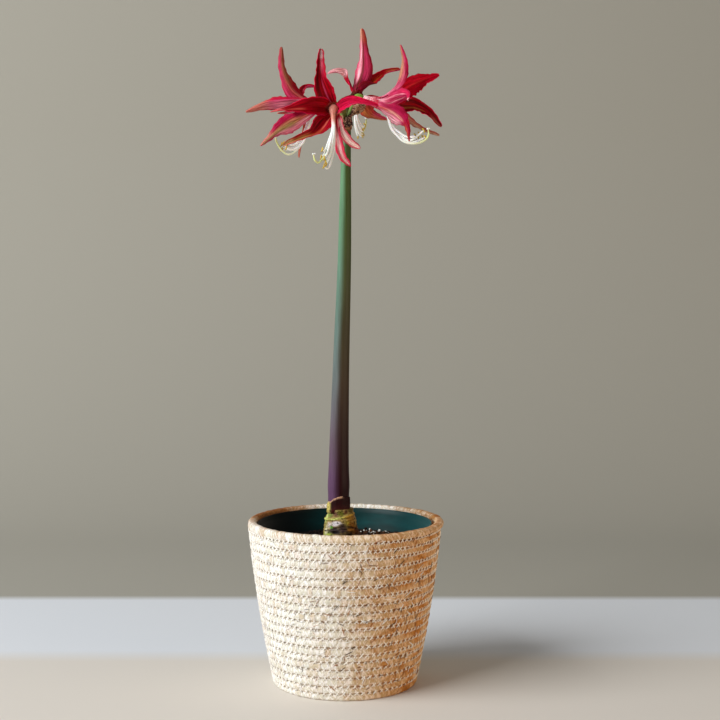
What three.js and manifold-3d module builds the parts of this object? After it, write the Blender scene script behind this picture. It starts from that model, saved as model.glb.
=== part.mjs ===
// An amaryllis in bloom: a bulb in a grower's pot of soil, inside a coiled straw basket.
// Millimetres, +Z up, origin at the middle of the basket's underside. The plant is seen from -Y.
import * as THREE from 'three';
import { mergeVertices } from 'three/addons/utils/BufferGeometryUtils.js';
import Module from 'manifold-3d';

const wasm = await Module();
wasm.setup();

// ---------------------------------------------------------------- driving dimensions
const GAP = 0.3; // clearance between pieces that touch

const BASKET = {
  height: 159, // top of the rim coil
  baseRadius: 70, // crest of the lowest coil
  middleRadius: 87.3, // pull of the side's curve, halfway up
  rimRadius: 94.6, // crest of the rim coil
  wall: 8.2,
  floor: 8,
  coils: 20,
  groove: 1.6, // depth between two coils
  crown: 0.8, // how far the rim's top stands above its two edges
  crownShare: 0.25, // half-width of the crown, as a share of the wall
  insideRings: [0.98, 0.56, 0.15], // heights of the inner side's facets, as shares
  sides: 26,
};

const POT = {
  lip: 155.5, // top of the lip
  lipHeight: 5,
  lipRadius: 84.9,
  innerLipRadius: 83.7,
  shoulderRadius: 83.2, // outside, just under the lip
  baseRadius: 61.5,
  wall: 1.6,
  floor: 2,
  lipStep: 0.8, // height over which the side widens into the lip
  drains: 6,
  drainRadius: 4,
  drainCircle: 46,
  drainSides: 10,
  sides: 26,
};

const SOIL = {
  top: 134,
  bump: 1.1,
  rings: 4,
  sides: 20,
  collar: 4, // flat width left round the bulb
  clearance: 0.5, // round the bulb
};

// Radius of the bulb at each height, from its base plate up to the end of its neck.
const BULB = [
  [52, 13], [58, 29], [74, 40.5], [92, 42], [108, 36], [121, 25.5], [131, 19.2], [140, 17.7],
  [149, 16.8], [150, 15.8], [156, 15.5], [160, 15], [161, 14], [165, 12.3], [169, 11.9],
];
const NECK = { x: -4, sides: 16 };
const SHEATH = { radius: 11.3, wall: 0.65, low: 171, high: 182, highSide: -0.9, sides: 16 };

const SCAPE = {
  foot: 150, // where the stalk stands in the bulb's neck
  top: 543,
  sides: 14,
  // Radius at each height.
  radii: [
    [150, 10.3], [180, 10.3], [192, 10.7], [206, 10.1], [231, 9.45], [296, 8.2], [338, 7.6],
    [401, 6.65], [459, 5.85], [503, 4.9], [543, 4.4],
  ],
};
// The stalk's middle: its sideways place at each height.
const LEAN = [[150, -6.2], [187, -6.1], [231, -5.6], [316, -3.4], [401, -0.6], [459, 0.5], [543, 1.7]];

const PEDICEL = { radius: 2.1, sides: 6, steps: 5 };
const OVARY = { radius: 3.6, length: 9, sides: 8 };
// The ovary's outline: shares of its length below its top, and of its radius.
const OVARY_OUTLINE = [[1, 0], [1, 0.55], [0.7, 1], [0.25, 1], [0, 0.85], [0, 0]];

const TUBE = {
  length: 17,
  foot: 3.3,
  waist: 4.75, // radius partway up
  waistShare: 0.6,
  throat: 6.2,
  hole: 3.1,
  holeDepth: 8,
  mouth: 5.4, // the opening that the tepals leave round the stamens
  mouthLow: -1,
  mouthHigh: 6,
  sides: 8,
};
const TEPAL = {
  thickness: 0.9,
  steps: 8,
  halves: 2, // facets across each half
  leastHalf: 0.5, // half-width that no row goes under
  fold: 20, // how far each half leans up from the midrib, in degrees
  curl: 18, // further bend across each half at the base, in degrees
  curlTip: 62, // the same at the tip
  ripple: 0.7,
  waves: 2.6,
  root: 4.7, // how far from the throat's middle a tepal starts
  sunk: 3.5,
  middle: 0.45, // where along the tepal its middle look is reached
};
// Half-width along a tepal, as a share of its largest, for each kind of outline.
const OUTLINES = {
  leaf: [
    [0, 0.25], [0.1, 0.45], [0.22, 0.8], [0.35, 1], [0.48, 0.96], [0.62, 0.72], [0.76, 0.46],
    [0.88, 0.27], [0.96, 0.15], [1, 0.06],
  ],
  dart: [
    [0, 0.25], [0.1, 0.62], [0.2, 0.88], [0.33, 1], [0.44, 0.93], [0.55, 0.68], [0.66, 0.42],
    [0.8, 0.25], [0.92, 0.15], [1, 0.05],
  ],
  bottle: [
    [0, 0.3], [0.1, 0.6], [0.2, 0.84], [0.3, 0.94], [0.4, 0.88], [0.5, 0.69], [0.62, 0.52],
    [0.76, 0.42], [0.9, 0.37], [0.97, 0.28], [1, 0.12],
  ],
  fin: [
    [0, 0.25], [0.12, 0.34], [0.22, 0.6], [0.32, 0.94], [0.42, 1], [0.5, 0.82], [0.6, 0.52],
    [0.72, 0.42], [0.86, 0.37], [0.95, 0.29], [1, 0.12],
  ],
  horn: [
    [0, 0.3], [0.1, 0.58], [0.2, 0.82], [0.3, 0.97], [0.4, 1], [0.5, 0.9], [0.6, 0.72],
    [0.7, 0.56], [0.8, 0.46], [0.9, 0.38], [0.97, 0.28], [1, 0.12],
  ],
  spoon: [
    [0, 0.35], [0.2, 0.5], [0.4, 0.78], [0.6, 0.97], [0.75, 1], [0.88, 0.82], [0.96, 0.5],
    [1, 0.12],
  ],
  broad: [
    [0, 0.3], [0.15, 0.6], [0.3, 0.92], [0.45, 1], [0.6, 0.92], [0.74, 0.7], [0.86, 0.47],
    [0.95, 0.3], [1, 0.14],
  ],
  late: [
    [0, 0.3], [0.15, 0.42], [0.32, 0.68], [0.5, 1], [0.6, 1], [0.72, 0.74], [0.84, 0.5],
    [0.94, 0.33], [1, 0.12],
  ],
  hook: [
    [0, 0.3], [0.15, 0.55], [0.3, 0.85], [0.45, 1], [0.55, 0.92], [0.63, 0.68], [0.71, 0.38],
    [0.85, 0.24], [1, 0.06],
  ],
};

const STAMEN = {
  foot: 2.8, // radius of the bundle's foot
  footTop: 1, // height of the foot's end above the throat's middle
  low: 1, // how deep in the foot the bundle starts
  straight: 6.5, // how far it runs along the tube before it bends
  bundle: 2, // radius of the bundle of filaments and style
  bundleSides: 6,
  bundleSteps: 3,
  parting: 0.85, // where between the bend and their first points they start to part
  radius: 0.88,
  sides: 4,
  steps: 5,
  anther: [0.9, 0.9, 2.7], // half-widths and half-length
  droop: 0.35, // how far an anther leans back along its filament
  antherSides: 5,
  antherRings: 3,
  stigma: 1.5,
};

const COLLAR = { low: 536, high: 540.2, radius: 4.8, wall: 0.9, sides: 12 };
const BRACT = {
  thickness: 0.9,
  steps: 7,
  halves: 2,
  crumple: 0.8,
  rollLow: 40, // half the angle that a bract is rolled through at its foot, in degrees
  rollHigh: 95, // the same at its top
  rollStart: 0.35, // where along it the roll tightens, and where it is full
  rollFull: 0.6,
};

// Each bloom: its throat's middle, the way it faces, the first points of its stem, six tepals
// and its filaments. Tepal and filament points are measured from the throat's middle. A tepal
// has four points along its midrib, its full width, the way its inner face looks near its
// middle and at its tip, and its outline. The last of a bloom's filaments is its style.
const BLOOMS = {
  front: {
    throat: [-9, -31, 551],
    faces: [-34, -93, -12],
    pedicel: [[1, -2, 541], [0, -5, 550]],
    tepals: [
      [[-6, -7, 9], [-12, -11, 25], [-13, -9, 41], [-13, -4, 55], 22, [0, -3, -1], [1, -3, 0], 'bottle'],
      [[-15, -11, 1], [-29, -15, -0.5], [-44, -11, -2], [-60, -3, -3], 20, [0, -3, 0], [0, -2, 2], 'dart'],
      [[-7.8, -9.7, -12], [-17, -17, -23.5], [-31, -20, -29.5], [-47, -19, -36.5], 20,
        [0, -3, 1], [0, -2, 1], 'fin'],
      [[2, -8, -17], [3, -12, -30], [6.5, -14, -45], [15, -13, -55], 10.5, [0, -3, 1], [0, -3, 1], 'spoon'],
      [[5, -7, -12], [8, -11, -23], [14, -12, -32], [24, -10, -38], 10, [-1, -3, 1], [-1, -3, 1], 'spoon'],
      [[5, -6, 0], [14, -8, 4], [26, -7, 4.8], [41, -3, 2.3], 15, [-1, -3, 2], [0, -2, 1], 'horn'],
    ],
    filaments: [
      [[-1.4, -21.4, -20], [-5, -31, -34], [-8, -39, -43], [-10.5, -43, -43]],
      [[-1.1, -21.3, -20], [-4.5, -31, -35], [-7.5, -39, -45], [-11.5, -43, -50]],
      [[0, -20, -20], [0, -29, -39], [-2.5, -37, -53], [-5.5, -41, -60], [-9, -44, -58]],
      [[-0.5, -20, -20], [-1.5, -29, -38], [-4, -36, -49], [-7, -41, -56]],
      [[-1, -23, -20], [-3.5, -34, -36], [-6, -42, -46], [-8.5, -46, -51]],
      [[0, -23, -20], [-2, -34, -38], [-4.5, -41, -49], [-7.5, -46, -54]],
      [[-1, -22, -20], [-4, -33, -37], [-8, -41, -48], [-13.5, -46, -55], [-17, -49, -53], [-18, -49, -48]],
    ],
  },
  left: {
    throat: [-27, 8, 557],
    faces: [-93, 36, -10],
    pedicel: [[0, 1, 541], [-3, 1, 552]],
    tepals: [
      [[-15, 2, 12], [-26, 1, 22.5], [-33, 0, 41], [-34.2, 1, 60], 17.5, [-1, 3, 0], [-1, 3, 0], 'horn'],
      [[-15, -2, 8], [-30, -8, 7], [-49, -11, 4], [-68, -11, -4], 18, [0, 3, -1], [0, 3, -1], 'late'],
      [[-13, -10, 0], [-21, -20, -5.5], [-29, -28, -8.5], [-36, -34, -9], 15, [-1, 1, 2], [-1, 0, 2], 'leaf'],
      [[-8, -7.8, -6], [-22, -14, -14], [-37, -20, -24], [-53, -22, -38], 23, [0, 3, 1], [0, 3, 1], 'leaf'],
      [[-13, 8, 11], [-14, 16, 20], [-10.5, 22, 24.5], [-1, 24, 25.5], 9, [-1, -1, 1], [0, -1, 2], 'spoon'],
      [[-7, 10, -5], [-12, 16, -18], [-16, 17, -32], [-18, 13, -45], 9, [-1, -1, 0], [-1, -1, 0], 'bottle'],
    ],
    filaments: [
      [[-10.5, -2, -20], [-15, -6, -32], [-22, -9, -38], [-28.5, -11, -38], [-32, -13, -34]],
      [[-9.5, 0, -20], [-14, -4, -32], [-20.5, -7, -39], [-28.5, -9, -40], [-33.5, -11, -40]],
      [[-10.7, -2.3, -19.3], [-17, -7, -31], [-22.5, -10, -36], [-27.5, -12, -35], [-29, -14, -34]],
      [[-10, 1, -21], [-15.5, -2, -33], [-22.5, -5, -38], [-29.5, -7, -38], [-34, -9, -35]],
      [[-11, 0, -19], [-18, -3, -32], [-25, -6, -36], [-29.5, -8, -36], [-31, -10, -35]],
      [[-9, -4, -20], [-13, -8, -33], [-19, -11, -39], [-24.5, -13, -41], [-29, -14, -39]],
      [[-8.5, -1, -20], [-13, -5, -31], [-18, -8, -39], [-26.5, -10, -45], [-33.5, -12, -41],
        [-38, -13, -34], [-39.5, -13, -29]],
    ],
  },
  right: {
    throat: [34, -8, 560],
    faces: [92, -25, -30],
    pedicel: [[3, -1, 541], [7, -1, 557]],
    tepals: [
      [[6, -2, 8], [17, -1, 19], [21.6, 1, 38], [19.3, 4, 56.3], 13.5, [3, 3, 0], [3, 2, 0], 'late'],
      [[16, 10, 9], [29, 18, 19], [42, 24, 26], [58, 28, 32], 22, [1, -3, 0], [0, -3, 0], 'broad'],
      [[5, -9, 2], [15, -20, 4], [24, -30, 3.5], [25, -36, -2.5], 17, [1, 3, 0], [3, 1, 1], 'broad'],
      [[19, 10, -1], [34, 16, -1], [48, 19, -7], [60, 18, -19.5], 21, [0, -3, 1.2], [0, -3, 0], 'horn'],
      [[3, -9, -6], [14, -17, -13], [24, -22, -24], [27, -23, -39], 21, [0, 3, 1], [1, 2, 0], 'hook'],
      [[15, 10, -7], [30, 16, -15.5], [44, 20, -23.3], [58, 20, -28], 13, [0, 2, 2], [0, 2, 2], 'bottle'],
    ],
    filaments: [
      [[10.5, 0, -21], [16, -3, -28], [23.5, -7, -33], [29.5, -10, -33], [33, -12, -32]],
      [[10.5, -2, -22], [17, -5, -30], [25.5, -9, -36], [33, -12, -35], [36.5, -14, -31]],
      [[10, 1, -22], [15.5, -2, -30], [23, -6, -36], [32, -10, -38], [40, -13, -34]],
      [[11.5, -3, -21], [18, -6, -28], [25.5, -10, -33], [34, -14, -33], [41, -17, -28]],
      [[9.5, -1, -21], [14.5, -4, -29], [22.5, -8, -36], [33, -12, -39], [42.5, -15, -34]],
      [[11.5, 2, -21], [19, -1, -28], [26.5, -5, -34], [32, -8, -36], [36.5, -11, -35]],
      [[10, -4, -21], [15, -7, -30], [23, -11, -38], [34, -15, -40], [42.5, -18, -37],
        [45.5, -19, -32], [45, -19, -27]],
    ],
  },
  back: {
    throat: [12, 30, 574],
    faces: [31, 88, 30],
    pedicel: [[3, 2, 541], [3, 3, 555]],
    tepals: [
      [[1.5, 4, 12], [5.5, 8, 26], [6, 8, 46], [4.3, 4, 66], 21, [1, 3, 0], [1, 3, 0], 'horn'],
      [[8, 5, 8], [16.5, 12, 16.3], [28, 15, 24.2], [43, 14, 27.5], 18.5, [0, -3, 1], [0, -2, 2], 'bottle'],
      [[-5, 5, 8], [-9.5, 10, 18.5], [-14, 10, 25], [-29, 4, 22], 8, [-2, -2, -1], [0, -1, 2], 'spoon'],
      [[6, 8, -9], [12, 15, -17], [22, 20, -20], [33, 22, -21], 19, [0, 2, 2], [0, 2, 2], 'leaf'],
      [[-5, 9, -3], [-9, 21, -6], [-9, 34, -9], [-8, 46, -10], 13, [0, 2, 2], [0, 2, 2], 'leaf'],
      [[12, 9, -3], [26, 20, -7], [38, 30, -9], [46, 38, -12], 13, [0, -2, 1], [0, -1, 2], 'leaf'],
    ],
    filaments: [
      [[1, 22, -9], [-2, 20, -18], [-2, 24, -27], [0.5, 28, -37]],
      [[1, 22, -9], [-1.5, 20, -17], [0.5, 24, -26], [3.5, 28, -34], [6, 30, -34]],
      [[2, 22, -9], [-1, 21, -17], [1.5, 25, -25], [4.5, 29, -31], [6, 31, -29]],
      [[2, 23, -9], [0, 22, -17], [3, 27, -24], [6, 30, -27], [7.5, 31, -25]],
      [[1, 21, -9], [-2, 19, -18], [-0.5, 23, -29], [3, 27, -36], [5, 29, -36]],
      [[1, 21, -9], [-0.5, 19, -18], [2, 23, -28], [5, 27, -32], [5, 29, -31]],
      [[2, 23, -9], [-1, 22, -17], [1.5, 26, -27], [5.5, 30, -32], [8.5, 32, -25], [9, 32, -18]],
    ],
  },
};

// The dried bracts at the foot of the flowers: points up each one, its look, and half its width
// along it.
const BRACTS = [
  {
    line: [[3.6, -5, 538], [3.6, -7.6, 543], [6.4, -8.4, 548.5], [11.5, -9.6, 553], [16, -9, 556.5],
      [20, -7, 560]],
    look: [0.4, -2, -0.3],
    halves: [[0, 4.6], [0.14, 4.7], [0.26, 3.2], [0.38, 1.6], [0.5, 3], [0.68, 5], [0.86, 4.6], [1, 1.8]],
  },
  {
    line: [[-0.6, -5.1, 537.5], [-2, -7.4, 541], [-2.6, -8, 545], [-2.2, -8, 549]],
    look: [-0.3, -1, 0],
    halves: [[0, 2.4], [0.4, 2.6], [0.8, 1.6], [1, 0.6]],
  },
];

// Where each draw of chance starts.
const SEEDS = { soil: 11, bracts: 31, tepals: 101 };

const COLOURS = {
  straw: 0xcfae84,
  green_plastic: 0x1d4a47,
  soil: 0x35241b,
  bulb: 0x8a8a3c,
  stalk: 0x5c7a4e,
  dry_bract: 0x7c5a3c,
  tepal: 0xa30f2c,
  filament: 0xf2efe2,
};

// ---------------------------------------------------------------- helpers
const vector = (p) => new THREE.Vector3(...p);
const radians = THREE.MathUtils.degToRad;

// A small repeatable source of chance.
function chance(seed) {
  let state = seed;
  return () => {
    state = (state * 16807) % 2147483647;
    return state / 2147483647;
  };
}

// The value at x on a line drawn through [x, value] points.
function along(points, x) {
  for (let i = 1; i < points.length; i += 1) {
    const [x0, v0] = points[i - 1];
    const [x1, v1] = points[i];
    if (x <= x1) return THREE.MathUtils.lerp(v0, v1, Math.max(0, (x - x0) / (x1 - x0)));
  }
  return points[points.length - 1][1];
}

// A shape turned about +Z from [height, radius] points, which start and end on the axis.
function turned(profile, sides) {
  const points = profile.map(([height, radius]) => new THREE.Vector2(radius, height));
  const geometry = new THREE.LatheGeometry(points, sides);
  geometry.rotateX(Math.PI / 2);
  return geometry;
}

function positionsOnly(geometry) {
  const bare = geometry.clone();
  bare.deleteAttribute('normal');
  bare.deleteAttribute('uv');
  return mergeVertices(bare, 1e-4);
}

// Every vertex moved by a function of its place.
function moved(geometry, move) {
  const bare = positionsOnly(geometry);
  const place = bare.attributes.position;
  const point = new THREE.Vector3();
  for (let i = 0; i < place.count; i += 1) {
    point.fromBufferAttribute(place, i);
    move(point);
    place.setXYZ(i, point.x, point.y, point.z);
  }
  return bare;
}

function solid(geometry) {
  const bare = positionsOnly(geometry);
  const mesh = new wasm.Mesh({
    numProp: 3,
    vertProperties: new Float32Array(bare.attributes.position.array),
    triVerts: new Uint32Array(bare.index.array),
  });
  mesh.merge();
  return new wasm.Manifold(mesh);
}

function surface(body) {
  const mesh = body.getMesh();
  const geometry = new THREE.BufferGeometry();
  geometry.setAttribute('position', new THREE.BufferAttribute(mesh.vertProperties, 3));
  geometry.setIndex(new THREE.BufferAttribute(mesh.triVerts, 1));
  return geometry;
}

// Solids joined into one. A pocket that they seal between them is filled.
function joined(geometries) {
  const body = geometries.map(solid).reduce((whole, next) => whole.add(next));
  const shells = body.decompose().filter((shell) => shell.volume() > 0);
  return surface(shells.reduce((whole, next) => whole.add(next)));
}

function cut(geometry, tools) {
  return surface(tools.map(solid).reduce((body, next) => body.subtract(next), solid(geometry)));
}

// A round rod along a curve.
function rod(points, radius, sides, steps) {
  const corners = Array.from({ length: sides }, (_, i) => (i / sides) * 2 * Math.PI);
  const outline = new THREE.Shape(
    corners.map((angle) => new THREE.Vector2(radius * Math.cos(angle), radius * Math.sin(angle))),
  );
  const curve = new THREE.CatmullRomCurve3(points, false, 'catmullrom', 0.5);
  return new THREE.ExtrudeGeometry(outline, { steps, bevelEnabled: false, extrudePath: curve });
}

// A shape made along +Z, turned to point along a direction and moved to a place.
function aimed(geometry, direction, place) {
  const turn = new THREE.Quaternion().setFromUnitVectors(new THREE.Vector3(0, 0, 1), direction);
  geometry.applyQuaternion(turn);
  geometry.translate(place.x, place.y, place.z);
  return geometry;
}

// A thin closed blade from rows of points that each hold a front and a back.
function blade(rows) {
  const across = rows[0].length;
  const positions = [];
  rows.forEach((row) => row.forEach(({ front, back }) => positions.push(...front, ...back)));
  const front = (i, j) => 2 * (i * across + j);
  const back = (i, j) => front(i, j) + 1;
  const faces = [];
  const last = across - 1;
  for (let i = 0; i + 1 < rows.length; i += 1) {
    for (let j = 0; j < last; j += 1) {
      faces.push(front(i, j), front(i, j + 1), front(i + 1, j));
      faces.push(front(i, j + 1), front(i + 1, j + 1), front(i + 1, j));
      faces.push(back(i, j + 1), back(i, j), back(i + 1, j));
      faces.push(back(i + 1, j + 1), back(i, j + 1), back(i + 1, j));
    }
    faces.push(back(i, 0), front(i, 0), front(i + 1, 0));
    faces.push(back(i, 0), front(i + 1, 0), back(i + 1, 0));
    faces.push(front(i, last), back(i, last), front(i + 1, last));
    faces.push(back(i, last), back(i + 1, last), front(i + 1, last));
  }
  const end = rows.length - 1;
  for (let j = 0; j < last; j += 1) {
    faces.push(back(0, j), back(0, j + 1), front(0, j));
    faces.push(back(0, j + 1), front(0, j + 1), front(0, j));
    faces.push(front(end, j), front(end, j + 1), back(end, j));
    faces.push(front(end, j + 1), back(end, j + 1), back(end, j));
  }
  const geometry = new THREE.BufferGeometry();
  geometry.setAttribute('position', new THREE.Float32BufferAttribute(positions, 3));
  geometry.setIndex(faces);
  return geometry;
}

// ---------------------------------------------------------------- basket, pot and soil
// Crest radius of the basket's side: a curve from the base, pulled out halfway, to the rim.
function basketRadius(height) {
  const t = height / BASKET.height;
  const base = BASKET.baseRadius * (1 - t) ** 2;
  return base + 2 * BASKET.middleRadius * t * (1 - t) + BASKET.rimRadius * t ** 2;
}

function basket() {
  const pitch = BASKET.height / BASKET.coils;
  const profile = [[0, 0]];
  for (let coil = 0; coil < BASKET.coils; coil += 1) {
    const low = coil * pitch;
    profile.push([low, basketRadius(low) - BASKET.groove]);
    profile.push([low + pitch / 2, basketRadius(low + pitch / 2)]);
  }
  const rimMiddle = BASKET.rimRadius - BASKET.wall / 2;
  const crownHalf = BASKET.crownShare * BASKET.wall;
  profile.push([BASKET.height - BASKET.crown, rimMiddle + crownHalf]);
  profile.push([BASKET.height, rimMiddle]);
  profile.push([BASKET.height - BASKET.crown, rimMiddle - crownHalf]);
  for (const share of BASKET.insideRings) {
    const height = share * BASKET.height;
    profile.push([height, basketRadius(height) - BASKET.wall]);
  }
  profile.push([BASKET.floor, basketRadius(BASKET.floor) - BASKET.wall]);
  profile.push([BASKET.floor, 0]);
  return turned(profile, BASKET.sides);
}

const potFoot = BASKET.floor + GAP;
const potShoulder = POT.lip - POT.lipHeight;

// Radius of the pot's outer side, under its lip.
function potRadius(height) {
  const share = (height - potFoot) / (potShoulder - potFoot);
  return THREE.MathUtils.lerp(POT.baseRadius, POT.shoulderRadius, share);
}

function growPot() {
  const inside = potFoot + POT.floor;
  const profile = [
    [potFoot, 0],
    [potFoot, POT.baseRadius],
    [potShoulder, POT.shoulderRadius],
    [potShoulder + POT.lipStep, POT.lipRadius],
    [POT.lip, POT.lipRadius],
    [POT.lip, POT.innerLipRadius],
    [potShoulder, potRadius(potShoulder) - POT.wall],
    [inside, potRadius(inside) - POT.wall],
    [inside, 0],
  ];
  const drains = [];
  for (let i = 0; i < POT.drains; i += 1) {
    const drill = [POT.drainRadius, POT.drainRadius, 3 * POT.floor, POT.drainSides];
    const drain = new THREE.CylinderGeometry(...drill);
    drain.rotateX(Math.PI / 2);
    drain.translate(POT.drainCircle, 0, potFoot + POT.floor / 2);
    drain.rotateZ((i / POT.drains) * 2 * Math.PI);
    drains.push(drain);
  }
  return cut(turned(profile, POT.sides), drains);
}

const soilFoot = potFoot + POT.floor + GAP;

// The soil fills the pot round the bulb, which stands in a hole of its own shape.
function soil() {
  const edge = (height) => (potRadius(height) - POT.wall) * Math.cos(Math.PI / SOIL.sides) - GAP;
  const profile = [[soilFoot, 0], [soilFoot, edge(soilFoot)], [SOIL.top, edge(SOIL.top)]];
  for (let ring = 1; ring < SOIL.rings; ring += 1) {
    const collar = along(BULB, SOIL.top) + SOIL.collar;
    profile.push([SOIL.top, THREE.MathUtils.lerp(edge(SOIL.top), collar, ring / SOIL.rings)]);
  }
  profile.push([SOIL.top, 0]);
  const random = chance(SEEDS.soil);
  const block = moved(turned(profile, SOIL.sides), (point) => {
    const inside = Math.hypot(point.x, point.y) < edge(SOIL.top) - 1;
    if (point.z > SOIL.top - 1 && inside) point.z += (2 * random() - 1) * SOIL.bump;
  });
  const [bulbFoot] = BULB[0];
  const [bulbTop] = BULB[BULB.length - 1];
  const hole = BULB.map(([height, radius]) => [height, radius + SOIL.clearance]);
  hole[0][0] = bulbFoot - GAP;
  hole.unshift([bulbFoot - GAP, 0]);
  hole.push([bulbTop, 0]);
  const mould = turned(hole, NECK.sides);
  mould.translate(NECK.x, 0, 0);
  return cut(block, [mould]);
}

// ---------------------------------------------------------------- bulb and stalk
// The bulb, its ringed neck and the torn papery sheath round the stalk's foot.
function bulb() {
  const [bulbFoot] = BULB[0];
  const [bulbTop] = BULB[BULB.length - 1];
  const profile = [[bulbFoot, 0], ...BULB, [bulbTop, 0]];
  const body = turned(profile, NECK.sides);
  body.translate(NECK.x, 0, 0);
  const sleeve = turned([
    [SCAPE.foot, 0],
    [SCAPE.foot, SHEATH.radius],
    [SHEATH.high, SHEATH.radius],
    [SHEATH.high, 0],
  ], SHEATH.sides);
  const torn = moved(sleeve, (point) => {
    const turn = Math.atan2(point.y, point.x);
    const share = 0.5 + 0.5 * Math.cos(turn - SHEATH.highSide);
    if (point.z > SHEATH.high - 1) point.z = THREE.MathUtils.lerp(SHEATH.low, SHEATH.high, share);
  });
  torn.translate(lean(SHEATH.low), 0, 0);
  const socket = turned([
    [SCAPE.foot - GAP, 0],
    [SCAPE.foot - GAP, SHEATH.radius - SHEATH.wall],
    [SCAPE.top, SHEATH.radius - SHEATH.wall],
    [SCAPE.top, 0],
  ], SHEATH.sides);
  socket.translate(lean(SHEATH.low), 0, 0);
  return cut(joined([body, torn]), [socket]);
}

function lean(height) {
  return along(LEAN, height);
}

function stalk() {
  const profile = [[SCAPE.foot, 0], ...SCAPE.radii, [SCAPE.top, 0]];
  return moved(turned(profile, SCAPE.sides), (point) => {
    point.x += lean(point.z);
  });
}

const facing = (bloom) => vector(bloom.faces).normalize();
const tubeFoot = (bloom) => vector(bloom.throat).addScaledVector(facing(bloom), -TUBE.length);

// The stalk with a flower stem and an ovary for each bloom, grown as one piece.
function scape() {
  const pieces = [stalk()];
  const outline = OVARY_OUTLINE.map(([down, out]) => [-down * OVARY.length, out * OVARY.radius]);
  for (const bloom of Object.values(BLOOMS)) {
    const top = tubeFoot(bloom).addScaledVector(facing(bloom), -GAP);
    const middle = top.clone().addScaledVector(facing(bloom), -OVARY.length / 2);
    const stem = [...bloom.pedicel.map(vector), middle];
    pieces.push(rod(stem, PEDICEL.radius, PEDICEL.sides, PEDICEL.steps));
    pieces.push(aimed(turned(outline, OVARY.sides), facing(bloom), top));
  }
  return joined(pieces);
}

// ---------------------------------------------------------------- tepals
// Directions along a tepal: its run, its inner face's look and its side, at even steps.
function tepalFrames(points, outward, middleLook, tipLook) {
  const curve = new THREE.CatmullRomCurve3(points, false, 'catmullrom', 0.5);
  const frames = [];
  let carried = outward.clone().negate();
  for (let i = 0; i <= TEPAL.steps; i += 1) {
    const place = curve.getPointAt(i / TEPAL.steps);
    const run = curve.getTangentAt(i / TEPAL.steps);
    carried = carried.clone().addScaledVector(run, -carried.dot(run)).normalize();
    frames.push({ place, run, carried });
  }
  const turnTo = (frame, look) => {
    const side = new THREE.Vector3().crossVectors(frame.run, frame.carried);
    return Math.atan2(look.dot(side), look.dot(frame.carried));
  };
  const middleTurn = turnTo(frames[Math.round(TEPAL.middle * TEPAL.steps)], middleLook);
  const tipTurn = turnTo(frames[TEPAL.steps], tipLook);
  const onward = Math.atan2(Math.sin(tipTurn - middleTurn), Math.cos(tipTurn - middleTurn));
  return frames.map(({ place, run, carried: start }, i) => {
    const share = i / TEPAL.steps;
    const toMiddle = THREE.MathUtils.smoothstep(share, 0, TEPAL.middle);
    const toTip = THREE.MathUtils.smoothstep(share, TEPAL.middle, 1);
    const look = start.clone().applyAxisAngle(run, middleTurn * toMiddle + onward * toTip);
    const side = new THREE.Vector3().crossVectors(run, look);
    return { share, place, look, side };
  });
}

// One row of points across a tepal: each half leans up from the midrib and curls inwards.
function tepalRow({ share, place, look, side }, width, outline, phase) {
  const half = Math.max(TEPAL.leastHalf, (width / 2) * along(OUTLINES[outline], share));
  const fold = radians(TEPAL.fold);
  const fullCurl = radians(THREE.MathUtils.lerp(TEPAL.curl, TEPAL.curlTip, share ** 2));
  const curl = Math.min(fullCurl, half / TEPAL.thickness);
  const row = [];
  for (let j = -TEPAL.halves; j <= TEPAL.halves; j += 1) {
    const out = Math.abs(j) / TEPAL.halves;
    const hand = Math.sign(j);
    const angle = fold + curl * out;
    const across = (half * (Math.sin(angle) - Math.sin(fold))) / curl;
    const up = (half * (Math.cos(fold) - Math.cos(angle))) / curl;
    const wave = Math.sin(2 * Math.PI * TEPAL.waves * share + phase + hand);
    const ripple = TEPAL.ripple * out ** 2 * wave * Math.sin(Math.PI * share);
    const lookShare = hand === 0 ? 1 : Math.cos(angle);
    const normal = look.clone().multiplyScalar(lookShare);
    normal.addScaledVector(side, -hand * Math.sin(angle));
    const middle = place.clone().addScaledVector(side, hand * across).addScaledVector(look, up);
    middle.addScaledVector(normal, ripple);
    row.push({
      front: middle.clone().addScaledVector(normal, TEPAL.thickness / 2),
      back: middle.clone().addScaledVector(normal, -TEPAL.thickness / 2),
    });
  }
  return row;
}

function tepal(bloom, form, phase) {
  const [first, second, third, tip, width, middleLook, tipLook, outline] = form;
  const axis = facing(bloom);
  const outward = vector(first).addScaledVector(vector(second), 0.5);
  outward.addScaledVector(axis, -outward.dot(axis)).normalize();
  const root = outward.clone().multiplyScalar(TEPAL.root).addScaledVector(axis, -TEPAL.sunk);
  const points = [root, vector(first), vector(second), vector(third), vector(tip)];
  points.forEach((point) => point.add(vector(bloom.throat)));
  const frames = tepalFrames(points, outward, vector(middleLook), vector(tipLook));
  return blade(frames.map((frame) => tepalRow(frame, width, outline, phase)));
}

// The funnel that the tepals grow from, with a blind hole for the stamens' foot.
function tube(bloom) {
  const shape = turned([
    [0, 0],
    [0, TUBE.foot],
    [TUBE.waistShare * TUBE.length, TUBE.waist],
    [TUBE.length, TUBE.throat],
    [TUBE.length, TUBE.hole],
    [TUBE.length - TUBE.holeDepth, TUBE.hole],
    [TUBE.length - TUBE.holeDepth, 0],
  ], TUBE.sides);
  return aimed(shape, facing(bloom), tubeFoot(bloom));
}

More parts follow.
